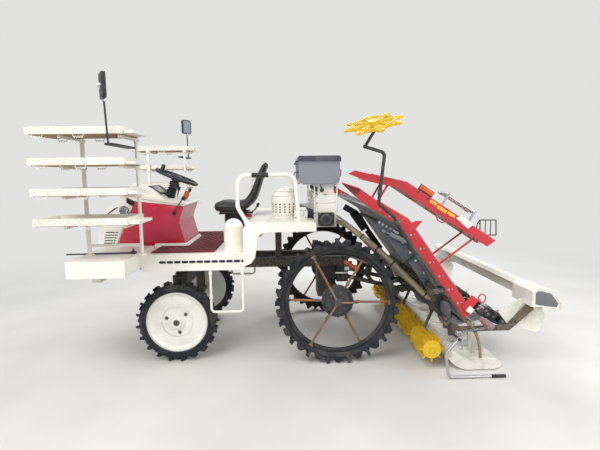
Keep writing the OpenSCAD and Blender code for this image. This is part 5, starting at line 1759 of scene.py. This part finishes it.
class TRANSPLANTER_OT_planting(bpy.types.Operator):
    """Trim of the planting section, rotary units, floats, marker and stands; the reflectors behind the deck"""
    bl_idname = "transplanter.planting"
    bl_label = "Planting Section"

    # Places in the side view
    axis = (1.370, 0.350)
    shaft = (1.0726, 0.2957)
    leveller_at = (0.870, 0.165)
    stand_at = (1.012, 0.285)
    arm_y = -1.030
    case_bolts = ((1.270, 0.322), (1.270, 0.262), (1.200, 0.325), (1.100, 0.325), (1.100, 0.258), (1.030, 0.352),
                  (1.024, 0.420))

    def execute(self, context):
        self.cases()
        self.covers()
        for row, tag in zip(ROW_Y, ("left", "middle", "right")):
            self.rotary(row, tag)
            self.rotor(row, tag)
        self.left_fittings()
        self.floats()
        self.marker()
        self.stands()
        self.rear_bar()
        return {"FINISHED"}

    def cases(self):
        x, z = self.axis
        shaft_x, shaft_z = self.shaft

        def build(bm):
            for row in ROW_Y:
                for side in (LEFT, RIGHT):
                    out = (0, side, 0)
                    y = row + side * 0.034
                    for k in range(8):
                        a = radians(22.5 + 45 * k)
                        if abs(cos(a)) < 0.95 or cos(a) > 0:
                            bolt(bm, (x + 0.0455 * cos(a), y, z + 0.0455 * sin(a)), out, 0.0042, 0.004)
                    for bx, bz in self.case_bolts:
                        bolt(bm, (bx, y, bz), out, 0.0062, 0.005)
                    disc(bm, (shaft_x, row + side * 0.046, shaft_z), out, 0.027, 0.004, 28, 0.022)
                    disc(bm, (shaft_x, row + side * 0.050, shaft_z), out, 0.010, 0.005, 6)
                    disc(bm, (1.1606, row + side * 0.040, shaft_z), out, 0.016, 0.004, 24, 0.012)
                    plate(bm, [(1.110, 0.318), (1.255, 0.318), (1.262, 0.306), (1.255, 0.294), (1.200, 0.294),
                               (1.188, 0.306), (1.118, 0.306)], *sorted((y, y + side * 0.004)))

        piece("case_bosses", build, "silver", "planting_body", bevel=0.0008)

        def shafts(bm):
            for a, b in ((-0.552, -0.048), (0.048, 0.552)):
                bar(bm, (shaft_x, a, shaft_z), (shaft_x, b, shaft_z), 0.013, 16)
                for y in (a + 0.02, b - 0.02):
                    collar(bm, (shaft_x, y, shaft_z), (0, 1, 0), (0.016, 0.014), (0.016, 0.022), 18)

        piece("drive_shafts", shafts, "cast", "planting_body")

        def trays(bm):
            for row in (-0.75, -0.45, -0.15, 0.15, 0.45, 0.75):
                block(bm, (1.156, row - 0.105, 0.3445), (1.163, row + 0.105, 0.3600))
                for dy in (-0.105, -0.022, 0.022, 0.105):
                    block(bm, (1.150, row + dy - 0.003, 0.345), (1.184, row + dy + 0.003, 0.357))

        piece("guide_rail_gates", trays, "bright", "planting_body", smooth=False)

    def covers(self):
        profile = [Vector(p) for p in ((1.600, 0.465), (1.732, 0.458), (1.740, 0.511), (1.664, 0.606),
                                       (1.560, 0.628), (1.526, 0.600), (1.526, 0.4907), (1.600, 0.4907))]
        centre = sum(profile, Vector((0, 0))) / len(profile)
        inset = [p + (centre - p).normalized() * 0.008 for p in profile]

        for side, tag in SIDES:
            def rim(bm):
                loop = [a.lerp(b, t) for a, b in zip(inset, inset[1:] + inset[:1]) for t in (0.02, 0.35, 0.65, 0.98)]
                tube(bm, at_y(loop, side * 0.9598), 0.0042, 8, closed=True)

            piece("end_cover_rim_" + tag, rim, "cream_low", "planting_body")

            def recess(bm):
                plate(bm, [(1.585, 0.500), (1.700, 0.486), (1.712, 0.512), (1.655, 0.585), (1.568, 0.604),
                           (1.548, 0.588), (1.548, 0.510)], *across(side, 0.9600, 0.9614))
                for x, z in ((1.560, 0.585), (1.690, 0.500), (1.600, 0.514)):
                    disc(bm, (x, side * 0.9612, z), (0, side, 0), 0.006, 0.003, 14)

            piece("end_cover_recess_" + tag, recess, "grey", "planting_body", bevel=0.001)

            def guard(bm):
                outline = [(1.356, 0.423), (1.522, 0.520), (1.598, 0.472), (1.691, 0.405), (1.672, 0.290),
                           (1.640, 0.268), (1.426, 0.331)]
                frame_bars(bm, at_y(outline, side * 0.8400), 0.0042)
                for ends in (((1.440, 0.345), (1.530, 0.505)), ((1.540, 0.315), (1.590, 0.465))):
                    tube(bm, at_y(ends, side * 0.8417), 0.003, 8)

            piece("claw_guard_edge_" + tag, guard, "cream_low", "planting_body")

        def seams(bm):
            line = ((1.590, 0.500), (1.680, 0.480), (1.692, 0.520), (1.640, 0.606), (1.556, 0.622))
            for y in (-0.48, -0.24, 0.0, 0.24, 0.48):
                tube(bm, at_y(line, y), 0.0035, 6)
            for y in (-0.60, -0.36, -0.12, 0.12, 0.36, 0.60):
                bolt(bm, (1.688, y, 0.500), (1, 0, 0), 0.0055, 0.004)
                bolt(bm, (1.600, y, 0.6135), (0.18, 0, 0.98), 0.0055, 0.004)

        piece("rear_beam_trim", seams, "cream_low", "planting_body")

    def rotary(self, row, tag):
        """Bolts, pushers and bright claws in the frame of one rotary unit."""
        centre = Vector((self.axis[0], row, self.axis[1]))
        tilt = Matrix.Rotation(radians(28), 3, "Y")
        body = "rotary_%s_body" % tag
        pin = 0.062

        def both(place):
            """Calls place for both arms on both sides; at gives a place in the arm's own frame."""
            for side in (LEFT, RIGHT):
                for half in (0, 180):
                    turn = tilt @ Matrix.Rotation(radians(half), 3, "Y")
                    place(side, lambda x, y, z, t=turn: centre + t @ Vector((x, y, z)), turn)

        def pushers(bm):
            def place(side, at, turn):
                y = side * 0.146
                tube(bm, [at(0.108, y, 0.004), at(0.132, y, 0.010), at(0.150, y, 0.019)],
                     [0.009, 0.0085, 0.006], 14)
                tube(bm, [at(0.150, y, 0.019), at(0.168, y, 0.026), at(0.181, y, 0.030)], 0.0042, 12)
                tube(bm, [at(0.172, y - 0.007, 0.0270), at(0.172, y + 0.007, 0.0270)], 0.0055, 12)
                for tine in (y - 0.0075, y + 0.0075):
                    tube(bm, [at(0.140, tine, 0.026), at(0.165, tine, 0.034), at(0.184, tine, 0.040)],
                         [0.003, 0.003, 0.0016], 8)
            both(place)

        piece("claw_pushers_" + tag, pushers, "bright", body)

        def caps(bm):
            def place(side, at, turn):
                out = turn @ Vector((0, side, 0))
                disc(bm, at(pin, side * 0.1645, 0.0), out, 0.0125, 0.004, 24, 0.010)
                disc(bm, at(pin, side * 0.1685, 0.0), out, 0.0065, 0.003, 6)
                for u, w in ((0.100, -0.012), (0.104, 0.012), (0.128, 0.008)):
                    bolt(bm, at(u, side * 0.164, w), out, 0.0038, 0.003)
                for k in range(5):
                    a = radians(-72 + 36 * k)
                    bolt(bm, at(pin + 0.0325 * cos(a), side * 0.0458, 0.0325 * sin(a)), -out, 0.0035, 0.003)
                bolt(bm, at(0.0, side * 0.0460, 0.036), -out, 0.0035, 0.003)
            both(place)
            for side in (LEFT, RIGHT):
                disc(bm, (centre.x, row + side * 0.130, centre.z), (0, side, 0), 0.011, 0.008, 6)

        piece("rotary_caps_" + tag, caps, "silver", body)

    def rotor(self, row, tag):
        """Rims of one row's pair of levelling rotors."""
        x, z = self.leveller_at

        def build(bm):
            for y in (row + dy for dy in (-0.262, -0.038, 0.038, 0.262)):
                ring(bm, (x, y, z), 0.064, 0.0035, "Y", 36, 8)
                ring(bm, (x, y, z), 0.024, 0.006, "Y", 24, 8)

        piece("leveller_rims_" + tag, build, "yellow", "leveller_body")

    def left_fittings(self):
        """Levers and boxes beside the left planting row, and the springs on both sides."""
        def tan(bm):
            line = ((1.112, 0.372), (1.135, 0.348), (1.163, 0.305), (1.190, 0.245), (1.208, 0.165), (1.214, 0.098))
            tube(bm, smooth_route(at_y(line, -0.880), 0.012), 0.011, 10, flat=0.28)

        piece("depth_bar", tan, "tan", "planting_body")

        def clasp(bm):
            block(bm, (1.150, -0.886, 0.296), (1.186, -0.858, 0.318))
            bolt(bm, (1.168, -0.886, 0.307), (0, -1, 0), 0.007, 0.005)

        piece("depth_bar_clamp", clasp, "dark_grey", "planting_body", bevel=0.002)

        def pot(bm):
            a, b = Vector((1.204, -0.884, 0.392)), Vector((1.292, -0.884, 0.322))
            way = (b - a).normalized()
            tube(bm, [a, a + way * 0.003, a + way * 0.030, a + way * 0.032, b - way * 0.004, b],
                 [0.015, 0.019, 0.019, 0.026, 0.026, 0.021], 24)

        piece("shear_pin_housing", pot, "mauve", "planting_body")

        def box(bm):
            plate(bm, [(0.926, 0.441), (0.916, 0.470), (0.918, 0.524), (0.934, 0.529), (0.974, 0.512),
                       (0.984, 0.498), (0.990, 0.424), (0.976, 0.414)], -0.884, -0.8585)

        piece("section_gear_box", box, "cover_blue", "planting_body", bevel=0.006)

        def face(bm):
            plate(bm, [(0.934, 0.450), (0.930, 0.505), (0.968, 0.490), (0.974, 0.436)], -0.8860, -0.8838)
            for x, z in ((0.928, 0.512), (0.978, 0.494), (0.982, 0.428), (0.932, 0.446)):
                bolt(bm, (x, -0.884, z), (0, -1, 0), 0.0045, 0.004)

        piece("section_gear_box_lid", face, "dark_grey", "planting_body", bevel=0.0012)

        def hook(bm):
            line = ((1.011, 0.300), (1.018, 0.322), (1.036, 0.318), (1.044, 0.290), (1.052, 0.240), (1.052, 0.204),
                    (1.044, 0.192), (1.034, 0.198))
            wire(bm, at_y(line, -0.950), 0.005, 0.008, 10)

        piece("stand_hook", hook, "bright", "planting_body")

        def spring(bm):
            for side in (LEFT, RIGHT):
                a, b = Vector((1.030, side * 0.905, 0.300)), Vector((1.230, side * 0.905, 0.330))
                ends = a - Vector((0.018, 0, 0.004)), b + Vector((0.018, 0, 0.002))
                coil(bm, a, b, 20, (0, 1, 0), (0, 0, 1), 0.0085, 0.0018)
                tube(bm, [ends[0], a], 0.0025, 6)
                tube(bm, [b, ends[1]], 0.0025, 6)
                for p in ends:
                    tube(bm, [Vector((p.x, side * 0.857, p.z)), Vector((p.x, side * 0.911, p.z))], 0.0045, 10)

        piece("return_springs", spring, "bright", "planting_body")

    def floats(self):
        def build(bm):
            top = ((1.150, 0.0645), (1.230, 0.0575), (1.300, 0.0525), (1.375, 0.0465))
            for y, ribs in ((-0.69, (-0.09, 0.09)), (0.0, (-0.2046, 0.0, 0.2046)), (0.69, (-0.09, 0.09))):
                for dy in ribs:
                    tube(bm, at_y(top, y + dy), [0.006, 0.010, 0.010, 0.005], 10, flat=1.8)
                for x in (1.240, 1.262):
                    block(bm, (x - 0.004, y - 0.022, 0.052), (x + 0.004, y + 0.022, 0.064))
                for dy in (-0.020, 0.020):
                    bolt(bm, (1.251, y + dy, 0.0555), (0, 0, 1), 0.006, 0.006)

        piece("float_ribs", build, "cream_low", "planting_body")

    def marker(self):
        arm_y = self.arm_y

        def spring(bm):
            a, b = Vector((0.792, arm_y + 0.038, 0.720)), Vector((0.670, arm_y + 0.038, 0.930))
            square = (b - a).normalized().cross(Vector((0, 1, 0))).normalized()
            coil(bm, a, b, 22, square, (0, 1, 0), 0.009, 0.002)
            for p in (a, b):
                tube(bm, [(p.x, arm_y, p.z), (p.x, arm_y + 0.046, p.z)], 0.0045, 10)

        piece("marker_spring", spring, "bright", "marker_left_body")

        def clamp(bm):
            low, high = Vector((0.5, 0, -0.86)).normalized(), Vector((0.11, 0, 0.99)).normalized()
            for x, z, way, shift in ((0.540, 1.140, low, 0.045), (0.448, 1.300, high, 0), (0.700, 0.870, low, 0)):
                collar(bm, Vector((x, arm_y, z)) + way * shift, way, (0.018, 0.016), (0.012, 0.0155), 16)

        piece("marker_clamps", clamp, "dark_grey", "marker_left_body")
        star = Vector((0.417, -0.970, 1.739))
        turn = Matrix.Rotation(radians(-14), 3, "Y") @ Matrix.Rotation(radians(20), 3, "X")

        def on_wheel(r, degrees, z):
            a = radians(degrees)
            return star + turn @ Vector((r * cos(a), r * sin(a), z))

        def hub(bm):
            up = turn @ Vector((0, 0, 1))
            for k in range(6):
                bolt(bm, on_wheel(0.027, 60 * k, -0.018), -up, 0.004, 0.0035)
            disc(bm, on_wheel(0, 0, -0.018), -up, 0.014, 0.006, 20, 0.010)

        piece("marker_hub_bolts", hub, "bright", "marker_disc_left")

        def ribs(bm):
            for s in (-1, 1):
                tube(bm, [on_wheel(0.1345, 7.5 * k, s * 0.0100) for k in range(48)], 0.003, 6, closed=True)
                for k in range(8):
                    tube(bm, [on_wheel(r, 45 * k, s * 0.0075) for r in (0.040, 0.090, 0.132, 0.188)],
                         [0.005, 0.004, 0.004, 0.003], 8)

        piece("marker_wheel_ribs", ribs, "yellow", "marker_disc_left")

    def stands(self):
        for side, tag in SIDES:
            def build(bm):
                x, z = self.stand_at
                y = side * 0.985
                tube(bm, [(end, y, 0.012) for end in (1.349, 1.345, 1.250, 1.246)],
                     [0.0085, 0.0118, 0.0118, 0.0104], 16)
                disc(bm, (x, y + side * 0.012, z), (0, side, 0), 0.012, 0.004, 20)
                disc(bm, (x, y + side * 0.016, z), (0, side, 0), 0.007, 0.004, 6)

            piece("stand_foot_" + tag, build, "rubber", "stand_%s_body" % tag)

    def rear_bar(self):
        """Reflectors and blank plates on arms behind the deck."""
        def bar(bm):
            for side in (LEFT, RIGHT):
                tube(bm, [(0.318, side * 0.176, 0.700), (0.322, side * 0.300, 0.690),
                          (0.330, side * 0.440, 0.676)], 0.007, 12)
                y = side * 0.446
                block(bm, (0.300, y - 0.003, 0.655), (0.360, y + 0.003, 0.735))

        piece("reflector_arms", bar, "black", "chassis")
        tilt = Matrix.Rotation(radians(32), 3, "Y")

        def lens(bm):
            for side in (LEFT, RIGHT):
                a, b = across(side, 0.4490, 0.4570)
                block(bm, (0.289, a, 0.684), (0.423, b, 0.716), tilt, (0.356, side * 0.45, 0.700))

        piece("rear_reflectors", lens, "reflector", "chassis", bevel=0.003)

        def plates(bm):
            for side in (LEFT, RIGHT):
                a, b = across(side, 0.4490, 0.4520)
                block(bm, (0.224, a, 0.637), (0.327, b, 0.649))
                block(bm, (0.300, a, 0.664), (0.336, b, 0.690))

        piece("rear_blank_plates", plates, "white", "chassis", bevel=0.001)


class TRANSPLANTER_PT_panel(bpy.types.Panel):
    """Colours, sizes and a button for each group of pieces"""
    bl_label = "Rice Transplanter"
    bl_idname = "TRANSPLANTER_PT_panel"
    bl_space_type = "VIEW_3D"
    bl_region_type = "UI"
    bl_category = "Transplanter"

    def draw(self, context):
        for group in (context.scene.transplanter_colours, context.scene.transplanter_sizes):
            for key in group.__annotations__:
                self.layout.prop(group, key)
        for op in OPERATORS:
            self.layout.operator(op.bl_idname)


OPERATORS = [TRANSPLANTER_OT_stage, TRANSPLANTER_OT_paint, TRANSPLANTER_OT_wheels, TRANSPLANTER_OT_racks,
             TRANSPLANTER_OT_front, TRANSPLANTER_OT_floor, TRANSPLANTER_OT_seat, TRANSPLANTER_OT_spreader,
             TRANSPLANTER_OT_hoses, TRANSPLANTER_OT_stage_trim, TRANSPLANTER_OT_planting]
CLASSES = [TransplanterColours, TransplanterSizes, *OPERATORS, TRANSPLANTER_PT_panel]


def register():
    for cls in CLASSES:
        bpy.utils.register_class(cls)
    bpy.types.Scene.transplanter_colours = bpy.props.PointerProperty(type=TransplanterColours)
    bpy.types.Scene.transplanter_sizes = bpy.props.PointerProperty(type=TransplanterSizes)


def unregister():
    del bpy.types.Scene.transplanter_sizes
    del bpy.types.Scene.transplanter_colours
    for cls in reversed(CLASSES):
        bpy.utils.unregister_class(cls)


def main():
    register()
    for op in OPERATORS:
        group, name = op.bl_idname.split(".")
        getattr(getattr(bpy.ops, group), name)()


if __name__ == "__main__":
    main()
